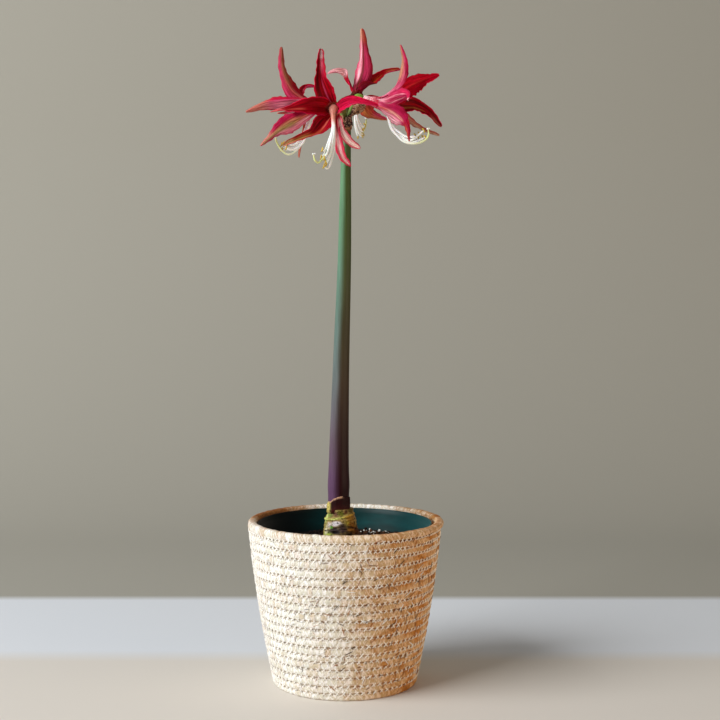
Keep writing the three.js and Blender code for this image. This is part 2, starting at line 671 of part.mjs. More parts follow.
function corolla(bloom, seed) {
  const random = chance(seed);
  const tepals = bloom.tepals.map((form) => tepal(bloom, form, 2 * Math.PI * random()));
  const mouth = turned([
    [-TUBE.holeDepth, 0],
    [-TUBE.holeDepth, TUBE.hole],
    [TUBE.mouthLow, TUBE.hole],
    [TUBE.mouthHigh, TUBE.mouth],
    [TUBE.mouthHigh, 0],
  ], TUBE.sides);
  return cut(joined([tube(bloom), ...tepals]), [aimed(mouth, facing(bloom), vector(bloom.throat))]);
}

// ---------------------------------------------------------------- stamens
// The filaments, their anthers and the style, in one bundle from their foot in the throat.
function stamens(bloom) {
  const axis = facing(bloom);
  const throat = vector(bloom.throat);
  const foot = turned([
    [GAP - TUBE.holeDepth, 0],
    [GAP - TUBE.holeDepth, STAMEN.foot],
    [STAMEN.footTop, STAMEN.foot],
    [STAMEN.footTop, 0],
  ], TUBE.sides);
  const pieces = [aimed(foot, axis, throat)];
  const bend = throat.clone().addScaledVector(axis, STAMEN.straight);
  const firsts = bloom.filaments.map(([first]) => vector(first).add(throat));
  const knot = new THREE.Vector3();
  firsts.forEach((first) => knot.addScaledVector(first, 1 / firsts.length));
  const trunk = [throat.clone().addScaledVector(axis, -STAMEN.low), bend, knot];
  pieces.push(rod(trunk, STAMEN.bundle, STAMEN.bundleSides, STAMEN.bundleSteps));
  const last = bloom.filaments.length - 1;
  bloom.filaments.forEach((filament, i) => {
    const isStyle = i === last;
    const points = [
      bend.clone().lerp(firsts[i], STAMEN.parting),
      ...filament.map((point) => vector(point).add(throat)),
    ];
    pieces.push(rod(points, STAMEN.radius, STAMEN.sides, STAMEN.steps));
    const end = points[points.length - 1];
    if (isStyle) {
      const stigma = new THREE.IcosahedronGeometry(STAMEN.stigma, 0);
      stigma.translate(end.x, end.y, end.z);
      pieces.push(stigma);
    } else {
      const anther = new THREE.SphereGeometry(1, STAMEN.antherSides, STAMEN.antherRings);
      anther.scale(...STAMEN.anther);
      const run = end.clone().sub(points[points.length - 2]).normalize();
      const look = new THREE.Vector3(0, 0, 1).addScaledVector(run, -STAMEN.droop).normalize();
      pieces.push(aimed(anther, look, end));
    }
  });
  return joined(pieces);
}

// ---------------------------------------------------------------- dried bracts
function bract({ line, look, halves }, seed) {
  const random = chance(seed);
  const curve = new THREE.CatmullRomCurve3(line.map(vector), false, 'catmullrom', 0.5);
  const rows = [];
  for (let i = 0; i <= BRACT.steps; i += 1) {
    const share = i / BRACT.steps;
    const run = curve.getTangentAt(share);
    const normal = vector(look).addScaledVector(run, -vector(look).dot(run)).normalize();
    const side = new THREE.Vector3().crossVectors(run, normal);
    const tighter = THREE.MathUtils.smoothstep(share, BRACT.rollStart, BRACT.rollFull);
    const roll = radians(THREE.MathUtils.lerp(BRACT.rollLow, BRACT.rollHigh, tighter));
    const radius = along(halves, share) / Math.sin(roll);
    const row = [];
    for (let j = -BRACT.halves; j <= BRACT.halves; j += 1) {
      const angle = (roll * j) / BRACT.halves;
      const out = normal.clone().multiplyScalar(Math.cos(angle)).addScaledVector(side, Math.sin(angle));
      const crumple = BRACT.crumple * (2 * random() - 1) * Math.min(1, 2 * share);
      const middle = curve.getPointAt(share).addScaledVector(normal, -radius);
      middle.addScaledVector(out, radius + crumple);
      row.push({
        front: middle.clone().addScaledVector(out, BRACT.thickness / 2),
        back: middle.clone().addScaledVector(out, -BRACT.thickness / 2),
      });
    }
    rows.push(row);
  }
  return blade(rows);
}

function spathe() {
  const ring = turned([
    [COLLAR.low, COLLAR.radius],
    [COLLAR.low, COLLAR.radius + COLLAR.wall],
    [COLLAR.high, COLLAR.radius + COLLAR.wall],
    [COLLAR.high, COLLAR.radius],
    [COLLAR.low, COLLAR.radius],
  ], COLLAR.sides);
  ring.translate(lean(COLLAR.low), 0, 0);
  return joined([ring, ...BRACTS.map((form, i) => bract(form, SEEDS.bracts + i))]);
}

// ---------------------------------------------------------------- the whole
const ROUGHNESS = { green_plastic: 0.35, tepal: 0.45, stalk: 0.5 };
const group = new THREE.Group();

function add(name, geometry, colour) {
  const material = new THREE.MeshStandardMaterial({
    color: COLOURS[colour],
    roughness: ROUGHNESS[colour] ?? 0.85,
    metalness: 0,
  });
  const mesh = new THREE.Mesh(geometry, material);
  mesh.name = name;
  group.add(mesh);
}

add('basket', basket(), 'straw');
add('grow_pot', growPot(), 'green_plastic');
add('soil', soil(), 'soil');
add('bulb', bulb(), 'bulb');
add('scape', scape(), 'stalk');
add('spathe', spathe(), 'dry_bract');
Object.entries(BLOOMS).forEach(([name, bloom], i) => {
  add(`bloom_${name}`, corolla(bloom, SEEDS.tepals + i), 'tepal');
  add(`stamens_${name}`, stamens(bloom), 'filament');
});

export default group;
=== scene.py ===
# The looks of the potted amaryllis: finer pieces and their materials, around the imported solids.
# Lengths are in millimetres until a mesh is made, and those of lamps are in metres. +Z is up and
# the camera stands at -Y.
import math
import random

import bpy
import numpy as np
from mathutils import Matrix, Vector


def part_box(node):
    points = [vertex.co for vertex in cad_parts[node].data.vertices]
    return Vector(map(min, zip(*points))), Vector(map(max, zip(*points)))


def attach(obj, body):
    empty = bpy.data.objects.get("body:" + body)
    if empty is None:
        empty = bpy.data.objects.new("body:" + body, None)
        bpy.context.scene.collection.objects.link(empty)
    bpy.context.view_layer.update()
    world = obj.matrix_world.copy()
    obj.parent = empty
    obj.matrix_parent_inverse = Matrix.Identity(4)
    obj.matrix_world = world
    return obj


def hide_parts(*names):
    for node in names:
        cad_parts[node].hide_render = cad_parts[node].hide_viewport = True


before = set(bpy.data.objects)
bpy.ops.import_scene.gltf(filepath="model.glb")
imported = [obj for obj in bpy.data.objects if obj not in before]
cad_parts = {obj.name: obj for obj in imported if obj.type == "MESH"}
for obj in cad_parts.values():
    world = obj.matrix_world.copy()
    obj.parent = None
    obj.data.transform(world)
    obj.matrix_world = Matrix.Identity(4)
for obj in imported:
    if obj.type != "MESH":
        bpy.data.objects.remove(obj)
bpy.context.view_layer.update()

MM = 0.001
TURN = 2 * math.pi


def box_mm(node):
    low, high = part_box(node)
    return np.array(low) / MM, np.array(high) / MM


def put_in_scene(name, data):
    thing = bpy.data.objects.new(name, data)
    bpy.context.scene.collection.objects.link(thing)
    return thing


# ---------------------------------------------------------------- camera and light
CAMERA_PLACE = (14.8, -1214, 369)
CAMERA_DROP = 2.6  # degrees below the horizon
CAMERA_LENS = 62.5  # on a 36 mm sensor
# Each lamp: its name, place, target, width, height, power and colour.
LAMPS = (
    ("window", (-2.45, -1.4, 1.95), (0, 0, 0.3), 2.4, 2.1, 138, (0.99, 1, 1)),
    ("room", (1.95, -1.1, 0.42), (0, 0, 0.15), 1.6, 0.5, 17, (1, 0.82, 0.6)),
)
ROOM_LIGHT, ROOM_STRENGTH = (0.9, 0.92, 0.96, 1), 0.16


def add_camera():
    data = bpy.data.cameras.new("camera")
    data.lens = CAMERA_LENS
    data.sensor_width = 36
    data.clip_end = 20
    camera = put_in_scene("camera", data)
    camera.location = Vector(CAMERA_PLACE) * MM
    camera.rotation_euler = (math.radians(90 - CAMERA_DROP), 0, 0)
    bpy.context.scene.camera = camera


def add_lamp(name, place, target, width, height, power, colour):
    data = bpy.data.lights.new(name, "AREA")
    data.shape = "RECTANGLE"
    data.size = width
    data.size_y = height
    data.energy = power
    data.color = colour
    lamp = put_in_scene(name, data)
    lamp.location = place
    lamp.rotation_euler = (Vector(target) - Vector(place)).to_track_quat("-Z", "Y").to_euler()


def add_lights():
    world = bpy.data.worlds.new("soft room")
    world.use_nodes = True
    background = world.node_tree.nodes["Background"]
    background.inputs["Color"].default_value = ROOM_LIGHT
    background.inputs["Strength"].default_value = ROOM_STRENGTH
    bpy.context.scene.world = world
    for lamp in LAMPS:
        add_lamp(*lamp)
    bpy.context.scene.view_settings.view_transform = "Standard"


# ---------------------------------------------------------------- colours and materials
def srgb(red, green, blue):
    """A colour given in 0 to 255 as the eye sees it, in the linear light that shaders use."""
    share = np.array([red, green, blue]) / 255
    return np.where(share <= 0.04045, share / 12.92, ((share + 0.055) / 1.055) ** 2.4)


class Paint:
    """A material and short calls that add nodes to it."""

    def __init__(self, name, roughness, specular=0.5):
        self.material = bpy.data.materials.new(name)
        self.material.use_nodes = True
        self.nodes = self.material.node_tree.nodes
        self.links = self.material.node_tree.links
        self.shader = self.nodes["Principled BSDF"]
        self.shader.inputs["Roughness"].default_value = roughness
        self.shader.inputs["Specular IOR Level"].default_value = specular

    def put(self, kind, inputs, **settings):
        node = self.nodes.new(kind)
        for key, value in settings.items():
            setattr(node, key, value)
        for key, value in inputs.items():
            if isinstance(value, bpy.types.NodeSocket):
                self.links.new(value, node.inputs[key])
            else:
                node.inputs[key].default_value = value
        return node

    def attribute(self, name, output="Vector"):
        return self.put("ShaderNodeAttribute", {}, attribute_name=name).outputs[output]

    def tint(self):
        return self.attribute("tint", "Color")

    def math(self, operation, first, second=0.0):
        return self.put("ShaderNodeMath", {0: first, 1: second}, operation=operation).outputs[0]

    def times(self, first, second):
        return self.math("MULTIPLY", first, second)

    def split(self, vector):
        return self.put("ShaderNodeSeparateXYZ", {0: vector}).outputs

    def scaled(self, vector, scale):
        node = self.put("ShaderNodeVectorMath", {0: vector, 1: scale}, operation="MULTIPLY")
        return node.outputs[0]

    def noise(self, vector, scale, detail=3.0, roughness=0.6):
        inputs = {"Vector": vector, "Scale": scale, "Detail": detail, "Roughness": roughness}
        return self.put("ShaderNodeTexNoise", inputs).outputs["Fac"]

    def stretched(self, vector, scales, detail=3.0, roughness=0.6):
        """Noise with a scale of its own along each axis."""
        return self.noise(self.scaled(vector, scales), 1.0, detail, roughness)

    def step(self, value, low, high):
        """0 under low, 1 over high and a smooth rise between them."""
        inputs = {"Value": value, "From Min": low, "From Max": high}
        node = self.put("ShaderNodeMapRange", inputs, interpolation_type="SMOOTHSTEP")
        return node.outputs["Result"]

    def mix(self, share, first, second, blend="MIX"):
        node = self.put("ShaderNodeMix", {}, data_type="RGBA", blend_type=blend)
        for index, value in ((0, share), (6, first), (7, second)):
            socket = node.inputs[index]
            if isinstance(value, bpy.types.NodeSocket):
                self.links.new(value, socket)
            elif index == 0:
                socket.default_value = value
            else:
                socket.default_value = (*value, 1)
        return node.outputs[2]

    def colour(self, socket):
        self.links.new(socket, self.shader.inputs["Base Color"])

    def rough(self, socket):
        self.links.new(socket, self.shader.inputs["Roughness"])

    def bump(self, height, distance, strength=1.0):
        inputs = {"Height": height, "Distance": distance * MM, "Strength": strength}
        bump = self.put("ShaderNodeBump", inputs)
        self.links.new(bump.outputs["Normal"], self.shader.inputs["Normal"])

    def set(self, **values):
        for name, value in values.items():
            self.shader.inputs[name.replace("_", " ")].default_value = value


# ---------------------------------------------------------------- geometry
def smoothstep(value, low, high):
    share = np.clip((np.asarray(value, float) - low) / (high - low), 0, 1)
    return share * share * (3 - 2 * share)


def hump(value, middle, spread):
    return np.exp(-(((value - middle) / spread) ** 2))


def unit(vectors):
    vectors = np.asarray(vectors, float)
    return vectors / np.maximum(np.linalg.norm(vectors, axis=-1, keepdims=True), 1e-12)


def spline(points, shares):
    """Places on a smooth line through points. A share counts evenly from point to point."""
    points = np.asarray(points, float)
    ends = np.vstack([2 * points[0] - points[1], points, 2 * points[-1] - points[-2]])
    at = np.clip(np.asarray(shares, float) * (len(points) - 1), 0, len(points) - 1 - 1e-9)
    index = at.astype(int)
    t = (at - index)[:, None]
    before, start, end, after = (ends[index + k] for k in range(4))
    leave = (end - before) / 2
    arrive = (after - start) / 2
    square = 3 * (end - start) - 2 * leave - arrive
    cube = 2 * (start - end) + leave + arrive
    return start + leave * t + square * t**2 + cube * t**3


def even_spline(points, shares):
    """The same line, with the shares counted along its length."""
    fine = spline(points, np.linspace(0, 1, 400))
    steps = np.linalg.norm(np.diff(fine, axis=0), axis=1)
    length = np.concatenate([[0], np.cumsum(steps)])
    at = np.interp(np.asarray(shares) * length[-1], length, np.linspace(0, 1, 400))
    return spline(points, at)


def smooth_table(points, at):
    """The value at each place on a smooth line through [place, value] points."""
    fine = spline(points, np.linspace(0, 1, 400))
    return np.interp(at, np.maximum.accumulate(fine[:, 0]), fine[:, 1])


def carried_frames(places, start):
    """For each place on a line: its run, a normal carried along it, and the third direction."""
    runs = unit(np.gradient(places, axis=0))
    normals = []
    normal = np.asarray(start, float)
    for run in runs:
        normal = unit(normal - run * normal.dot(run))
        normals.append(normal)
    normals = np.array(normals)
    return runs, normals, np.cross(runs, normals)


GRAIN = np.random.default_rng(7).random((32, 32, 32))


def grain(points, size):
    """Smooth chance values from -1 to 1 in space, about size millimetres from hill to hill."""
    scaled = np.asarray(points, float) / size
    cell = np.floor(scaled).astype(int)
    t = scaled - cell
    t = t * t * (3 - 2 * t)
    total = np.zeros(scaled.shape[:-1])
    for corner in np.ndindex(2, 2, 2):
        weight = np.prod(np.where(np.array(corner) == 1, t, 1 - t), axis=-1)
        x, y, z = np.moveaxis((cell + corner) % 32, -1, 0)
        total += weight * GRAIN[x, y, z]
    return 2 * total - 1


def layered(points, size):
    """Grain in three sizes."""
    return (grain(points, size) + 0.5 * grain(points, size / 2.1) + 0.25 * grain(points, size / 4.3)) / 1.75


def circle(count):
    """Angles at even steps round a circle."""
    return np.arange(count) / count * TURN


def around(out, angle, height):
    """Places at each distance from the +Z axis, angle and height."""
    return np.stack(np.broadcast_arrays(out * np.cos(angle), out * np.sin(angle), height), -1)


def spokes(axis, angle):
    """A unit direction square to the axis at each angle."""
    side = unit(np.cross(axis, (0, 0, 1)))
    other = np.cross(axis, side)
    return side * np.cos(angle)[:, None] + other * np.sin(angle)[:, None]


def wrapped(front, back):
    """Rows that run across the front and come back behind it."""
    return np.concatenate([front, back[:, ::-1]], 1)


def blend(first, second, share):
    share = np.asarray(share)[..., None]
    return np.asarray(first) * (1 - share) + np.asarray(second) * share


def grid_faces(rows, columns):
    """Quads between rows of points. The end of each row joins its start."""
    row = np.arange(rows - 1)[:, None] * columns
    column = np.arange(columns)[None, :]
    beside = (column + 1) % columns
    corners = [row + column, row + beside, row + columns + beside, row + columns + column]
    return np.stack(corners, -1).reshape(-1, 4)


def make_mesh(name, points, faces, tints, paint):
    """A smooth mesh from millimetres, with a colour at each point."""
    mesh = bpy.data.meshes.new(name)
    mesh.from_pydata((points * MM).tolist(), [], faces)
    tint = mesh.attributes.new("tint", "FLOAT_COLOR", "POINT")
    rgba = np.ones((len(points), 4), np.float32)
    rgba[:, :3] = np.clip(tints, 0, 1)
    tint.data.foreach_set("color", rgba.ravel())
    mesh.materials.append(paint.material)
    mesh.polygons.foreach_set("use_smooth", [True] * len(mesh.polygons))
    return mesh


class Shape:
    """Closed shells of one piece, each with a colour and texture coordinates at its points."""

    def __init__(self):
        self.points = []
        self.faces = []
        self.tints = []
        self.coords = []
        self.count = 0

    def sweep(self, rings, tint=(0.5, 0.5, 0.5), coords=(0, 0, 0), joined=False):
        """A closed skin over rings of points, with a flat cap at each end or its ends joined."""
        rings = np.asarray(rings, float)
        rows, columns = rings.shape[:2]
        faces = grid_faces(rows, columns).tolist()
        end = (rows - 1) * columns
        if joined:
            beside = [(k + 1) % columns for k in range(columns)]
            faces.extend([end + k, end + beside[k], beside[k], k] for k in range(columns))
        else:
            faces.append(list(range(columns))[::-1])
            faces.append([end + k for k in range(columns)])
        spread = [np.broadcast_to(np.asarray(value, float), rings.shape) for value in (tint, coords)]
        self.points.append(rings.reshape(-1, 3))
        self.tints.append(spread[0].reshape(-1, 3))
        self.coords.append(spread[1].reshape(-1, 3))
        self.faces.extend([tuple(i + self.count for i in face) for face in faces])
        self.count += rows * columns

    def rod(self, places, radii, sides, tint, start=(0, 0, 1)):
        """A round rod along places, with rounded ends."""
        places = np.asarray(places, float)
        radii = np.broadcast_to(np.asarray(radii, float), len(places)).copy()
        runs, normals, sideways = carried_frames(places, start)
        angle = circle(sides)
        out = normals[:, None] * np.cos(angle)[None, :, None]
        out = out + sideways[:, None] * np.sin(angle)[None, :, None]
        rings = places[:, None] + out * radii[:, None, None]
        first = places[0] + out[0] * radii[0] * 0.55 - runs[0] * radii[0] * 0.5
        last = places[-1] + out[-1] * radii[-1] * 0.55 + runs[-1] * radii[-1] * 0.5
        rings = np.concatenate([first[None], rings, last[None]])
        tint = np.asarray(tint, float)
        if tint.ndim == 2:
            tint = np.concatenate([tint[:1], tint, tint[-1:]])[:, None, :]
        self.sweep(rings, tint)

    def piece(self, name, paint, nodes=()):
        points = np.concatenate(self.points)
        mesh = make_mesh(name, points, self.faces, np.concatenate(self.tints), paint)
        coords = mesh.attributes.new("coords", "FLOAT_VECTOR", "POINT")
        coords.data.foreach_set("vector", np.concatenate(self.coords).astype(np.float32).ravel())
        mesh.update()
        thing = put_in_scene(name, mesh)
        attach(thing, "root")
        if nodes:
            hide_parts(*nodes)
        return thing


def turned_rings(profile, sides, centre=(0, 0)):
    """Rings about +Z from [height, radius] points."""
    profile = np.asarray(profile, float)
    rings = around(profile[:, 1:], circle(sides), profile[:, :1])
    return rings + (*centre, 0)


# ---------------------------------------------------------------- the straw basket
BASKET_TOP = box_mm("basket")[1][2]
BASKET_RADII = (70, 87.3, 94.6)  # crest radius: base, pull of the side's curve, rim
WALL = 8.2
COIL_HEIGHTS = (7.4, 7, 8.6, 7.8, 7.6, 6, 8.6, 8.6, 8.6, 7.7, 7.7, 7.7, 7.7, 9.6, 8, 8.8, 8.8, 7.2, 7.8)
STITCH_LOW, STITCH_HIGH = 6.2, 5.0  # spacing of the stitches, at the base and at the rim
STITCH_SAMPLES = 5
LOOSE_STRAWS = 1300  # tried, and some of them left out
CREAM = srgb(255, 255, 253)
STRAW = srgb(238, 226, 208)
TAN = srgb(204, 152, 92)
RUST = srgb(150, 92, 50)
STRAW_COLOURS = (RUST, RUST, srgb(104, 66, 38), srgb(180, 122, 74), srgb(62, 44, 32), CREAM, CREAM)


def basket_radius(height):
    base, middle, rim = BASKET_RADII
    t = np.asarray(height, float) / BASKET_TOP
    return base * (1 - t) ** 2 + 2 * middle * t * (1 - t) + rim * t**2


def coil_level(turn):
    """Height of the coil's upper edge after so many turns. It starts at the back."""
    heights = np.concatenate([[0], np.cumsum(COIL_HEIGHTS)])
    turns = np.concatenate([[-0.25], np.arange(len(COIL_HEIGHTS)) + 0.5])
    return np.interp(turn, turns, heights, left=0)


def rim_level(turn):
    """Height of the rim coil's underside: along the spiral in front, and back down behind."""
    last = len(COIL_HEIGHTS) - 1
    share = np.mod(turn, 1)
    low = coil_level(last + 0.25)
    high = 2 * coil_level(last + 0.5) - low
    front = low + (high - low) * (np.clip(share, 0.25, 0.75) - 0.25) / 0.5
    behind = low + (high - low) * (1 - np.mod(share - 0.75, 1) / 0.5)
    return np.where((share >= 0.25) & (share <= 0.75), front, behind)


def coil_section(angle, half_depth, half_height, power=2.5):
    bend = 2 / power
    depth = half_depth * np.sign(np.cos(angle)) * np.abs(np.cos(angle)) ** bend
    rise = half_height * np.sign(np.sin(angle)) * np.abs(np.sin(angle)) ** bend
    return depth, rise


def straw_paint():
    """Straw that slants both ways across a coil, with brown flecks and painted shade in the grooves."""
    paint = Paint("straw", 0.8, 0.2)
    coords = paint.attribute("coords")
    along, up, cell = paint.split(coords)
    rise = paint.times(up, 4)
    rising = paint.math("ADD", along, rise)
    falling = paint.math("SUBTRACT", along, rise)
    lay = paint.put("ShaderNodeCombineXYZ", {0: rising, 1: falling, 2: cell}).outputs[0]
    slant = paint.stretched(lay, (0.5, 0.11, 1))
    cross = paint.stretched(lay, (0.11, 0.46, 1))
    fibre = paint.math("MAXIMUM", slant, paint.math("SUBTRACT", cross, 0.02))
    flecks = paint.stretched(lay, (0.28, 0.8, 1.7), 4, 0.6)
    tint = paint.tint()
    brown = paint.math("SUBTRACT", 1.0, paint.step(paint.split(tint)[2], 0.25, 0.95))
    low = paint.mix(brown, (0.76, 0.745, 0.64), (0.68, 0.57, 0.36))
    low = paint.mix(1.0, tint, low, "MULTIPLY")
    colour = paint.mix(paint.step(fibre, 0.5, 0.58), low, tint)
    brown = paint.math("ADD", 0.35, paint.times(brown, 0.65))
    fleck = paint.times(paint.step(flecks, 0.55, 0.67), brown)
    colour = paint.mix(paint.times(fleck, 0.8), colour, RUST)
    speck = paint.times(paint.step(flecks, 0.69, 0.74), brown)
    colour = paint.mix(speck, colour, srgb(84, 58, 38))
    # Painted shade in the grooves between coils, darker where the straw is browner.
    groove = paint.step(paint.math("ABSOLUTE", up), 0.62, 0.84)
    painted_groove_shade = paint.mix(1.0, colour, (0.68, 0.38, 0.14), "MULTIPLY")
    depth = paint.math("ADD", 0.2, paint.times(brown, 0.75))
    paint.colour(paint.mix(paint.times(groove, depth), colour, painted_groove_shade))
    paint.bump(fibre, 1.1, 0.9)
    return paint


def stitch_cells():
    """Turns at which a stitch starts, from the bottom of the coil to its end."""
    turns = [-0.25]
    end = len(COIL_HEIGHTS) + 0.25
    while turns[-1] < end:
        height = float(coil_level(turns[-1]))
        spacing = STITCH_LOW + (STITCH_HIGH - STITCH_LOW) * height / BASKET_TOP
        turns.append(turns[-1] + spacing / (TURN * float(basket_radius(height))))
    return np.array(turns)


def turn_angle(turn):
    """The spiral starts at the back, +Y, and runs round to the left, the front and the right."""
    return TURN * (np.asarray(turn) + 0.25)


def coil_frame(turn):
    """Lower and upper edge of the coil at each turn, and the radius of its middle."""
    low = np.maximum(coil_level(turn - 1), 0)
    high = coil_level(turn)
    under_rim = turn > len(COIL_HEIGHTS) - 1 + 0.25
    high = np.where(under_rim, np.minimum(high, rim_level(turn)), high)
    high = np.maximum(high, low + 0.4)
    radius = basket_radius((low + high) / 2) - WALL / 2
    return low, high, radius


def browning_and_shade(angle):
    """How much browner the straw is: most on the basket's right side, partly browner straw and partly
    painted warm shade.
    """
    return smoothstep(np.cos(angle + 0.3), -0.05, 1.0)


def golden(tint, angle, strength=1):
    """The tint made more golden towards the basket's right side: painted warm shade."""
    share = (strength * smoothstep(np.cos(angle), -0.2, 0.95))[..., None]
    return tint * (1 - share * (1 - np.array((1.04, 0.81, 0.55))))


def front_share(angle):
    """Full on the basket's front, and falling off round its back: the strength of the painted warm shade and
    browning of the right side.
    """
    return 1 - 0.65 * smoothstep(np.sin(angle), -0.6, 0.8)


def add_basket():
    cells = stitch_cells()
    shades = np.random.default_rng(3)
    cell_shade = shades.random(len(cells))
    index = np.arange((len(cells) - 1) * STITCH_SAMPLES) / STITCH_SAMPLES
    turn = np.interp(index, np.arange(len(cells)), cells)
    low, high, radius = coil_frame(turn)
    outer = np.radians(np.linspace(-90, 90, 8))
    section = np.concatenate([outer, np.radians([145, 215])])
    half = (high - low) / 2
    depth, rise = coil_section(section[None], WALL / 2, half[:, None] * 1.13, 3.0)
    up = np.sin(section)[None] + 0 * rise
    inside_cell = np.mod(index[:, None] + 0.22 * up, 1)
    scallop = 1 - np.abs(2 * inside_cell - 1) ** 2.2
    shade = cell_shade[np.floor(index).astype(int)]
    facing_out = np.clip(np.cos(section), 0, 1)[None]
    low_half = smoothstep(-up, -0.7, 0.6)
    angle = turn_angle(turn)[:, None]
    middle = ((low + high) / 2)[:, None]
    place = around(90, angle, middle + rise)
    lumps = 0.75 * layered(place, 9) + 0.35 * grain(place, 2.2)
    depth = depth + facing_out * (0.5 * (scallop - 0.75) * low_half + 0.25 * (shade[:, None] - 0.5) + lumps)
    out = radius[:, None] + depth
    tall = np.maximum(middle + rise + 0.5 * np.abs(up) * grain(place + 50, 5), 0)
    rings = around(out, angle, tall)
    length = np.concatenate([[0], np.cumsum(np.diff(turn) * TURN * radius[1:])])
    coords = np.stack(np.broadcast_arrays(length[:, None], up, 7 * shade[:, None]), -1)
    # Painted light and shade: browner and more golden towards the right side, partly browning and partly
    # painted warm shade, and paler on the left side, painted light.
    age_and_shade = browning_and_shade(angle) * front_share(angle)
    patches = smoothstep(layered(place * (1, 1, 2.2), 15), 0.05, 0.45)
    brown = 0.25 * shade[:, None] ** 3 + 0.5 * age_and_shade ** 1.3 + 0.1 * smoothstep(np.cos(angle), -0.75, -0.2)
    brown = brown + (0.1 + 0.35 * age_and_shade) * patches
    tint = blend(CREAM, TAN, np.clip(np.broadcast_to(brown, up.shape), 0, 1))
    tint = golden(tint, angle, front_share(angle))
    coil = Shape()
    coil.sweep(rings, tint, coords)
    straw = straw_paint()
    coil.piece("basket_coil", straw, ["basket"])
    add_rim(straw)
    add_base(straw)
    add_stitches(cells)
    add_loose_straws()


def add_rim(paint):
    """The last coil, wrapped with slanting strips and level on top."""
    steps, wraps = 660, 62
    turn = np.arange(steps) / steps
    low = rim_level(turn) - 0.5
    high = np.full(steps, BASKET_TOP - 0.2)
    section = np.radians(np.linspace(-180, 180, 20, endpoint=False))
    depth, rise = coil_section(section[None], WALL / 2, (high - low)[:, None] / 2, 2.6)
    up = np.sin(section)[None] + 0 * rise
    strip = np.mod(turn[:, None] * wraps + section[None] / TURN, 1)
    ridge = 1 - np.abs(2 * strip - 1) ** 3
    angle = turn_angle(turn)[:, None]
    place = around(90, angle, high[:, None] + rise)
    lumps = 0.55 * layered(place, 9) + 0.25 * grain(place, 2.2)
    depth = depth + (0.35 * (ridge - 0.7) + lumps) * np.cos(section)[None]
    rise = rise + 0.35 * (ridge - 1) * np.sin(section)[None]
    out = BASKET_RADII[2] - WALL / 2 - 0.2 + depth + 1.8 * smoothstep(np.cos(angle), 0.55, 1)
    tall = np.minimum(((low + high) / 2)[:, None] + rise + 0.35 * grain(place + 50, 6), BASKET_TOP)
    rings = around(out, angle, tall)
    shades = np.random.default_rng(5).random(wraps + 2)
    shade = shades[np.floor(turn[:, None] * wraps + section[None] / TURN + 1).astype(int)]
    # Browner towards the right side, partly browning and partly painted warm shade; the dark brown band on
    # the back-left of the rim and the browner straw between the strips are painted shade.
    age_and_shade = 0.35 * shade**3 + 0.5 * browning_and_shade(angle) + 0.2 * smoothstep(layered(place, 18), 0.0, 0.5)
    shaded = hump(turn[:, None], 0.165, 0.085)
    age_and_shade = age_and_shade + shaded + 0.35 * smoothstep(-ridge, -0.45, 0)
    tint = golden(blend(CREAM, TAN, np.clip(age_and_shade, 0, 1)), angle + 0.5, 0.6)
    tint = blend(tint, RUST, 0.85 * shaded * (0.7 + 0.3 * shade))
    length = turn[:, None] * TURN * BASKET_RADII[2]
    coords = np.stack(np.broadcast_arrays(length, 0.75 * up, 7 * shade), -1)
    rim = Shape()
    rim.sweep(rings, tint, coords, joined=True)
    rim.piece("basket_rim", paint)


def add_base(paint):
    """The flat spiral that the basket stands on."""
    width, height = 7.6, 8.0
    reach = BASKET_RADII[0] - WALL - 1.2
    turns = reach / width
    steps = int(turns * 110)
    turn = np.linspace(0.12, turns, steps)
    section = circle(10)
    depth, rise = coil_section(section[None], width / 2 * 1.03, height / 2, 3)
    out = np.maximum((turn * width)[:, None] - width / 2 + depth + 2.2, 0.2)
    angle = turn_angle(turn)[:, None]
    rings = around(out, angle, height / 2 + rise)
    up = np.broadcast_to(np.cos(section)[None], out.shape)
    length = np.cumsum(turn * width * TURN / 110)[:, None]
    coords = np.stack(np.broadcast_arrays(length, 0.9 * up, 3.0), -1)
    base = Shape()
    base.sweep(rings, CREAM, coords)
    base.piece("basket_base", paint)


def add_stitches(cells):
    """Pale threads that zigzag across the groove between each coil and the one above it."""
    paint = Paint("thread", 0.75, 0.2)
    streak = paint.noise(paint.attribute("coords"), 3.0, 2)
    paint.colour(paint.mix(paint.step(streak, 0.3, 0.8), paint.tint(), STRAW))
    chance = random.Random(17)
    threads = Shape()
    end = len(COIL_HEIGHTS) + 0.25
    for turn in cells[(cells > 0.02) & (cells < end)]:
        groove = float(coil_level(turn))
        if turn > len(COIL_HEIGHTS) - 0.75:
            groove = float(rim_level(turn))
        here = float(basket_radius(groove))
        for lean in (chance.uniform(1.2, 2.2), -chance.uniform(1.2, 2.2)):
            rise = chance.uniform(1.5, 2.5)
            places = []
            for share in (-1, -0.5, 0, 0.5, 1.0):
                height = min(max(groove + rise * share, 0.5), BASKET_TOP - 1)
                angle = turn_angle(turn) + lean * share / here
                sag = 0.45 * math.exp(-((share / 0.5) ** 2)) + 0.8 * (abs(share) > 0.9)
                out = float(basket_radius(height)) + 0.15 - sag
                places.append((out * math.cos(angle), out * math.sin(angle), height))
            # Browner and more golden on the basket's right side: partly painted warm shade.
            pale = blend(CREAM, TAN, chance.uniform(0, 0.4) * (0.2 + 0.8 * float(browning_and_shade(turn_angle(turn)))))
            pale = golden(pale, turn_angle(turn), 0.55 * front_share(turn_angle(turn)))
            threads.rod(places, chance.uniform(0.42, 0.6), 4, pale, start=places[0])
    threads.piece("basket_stitches", paint)


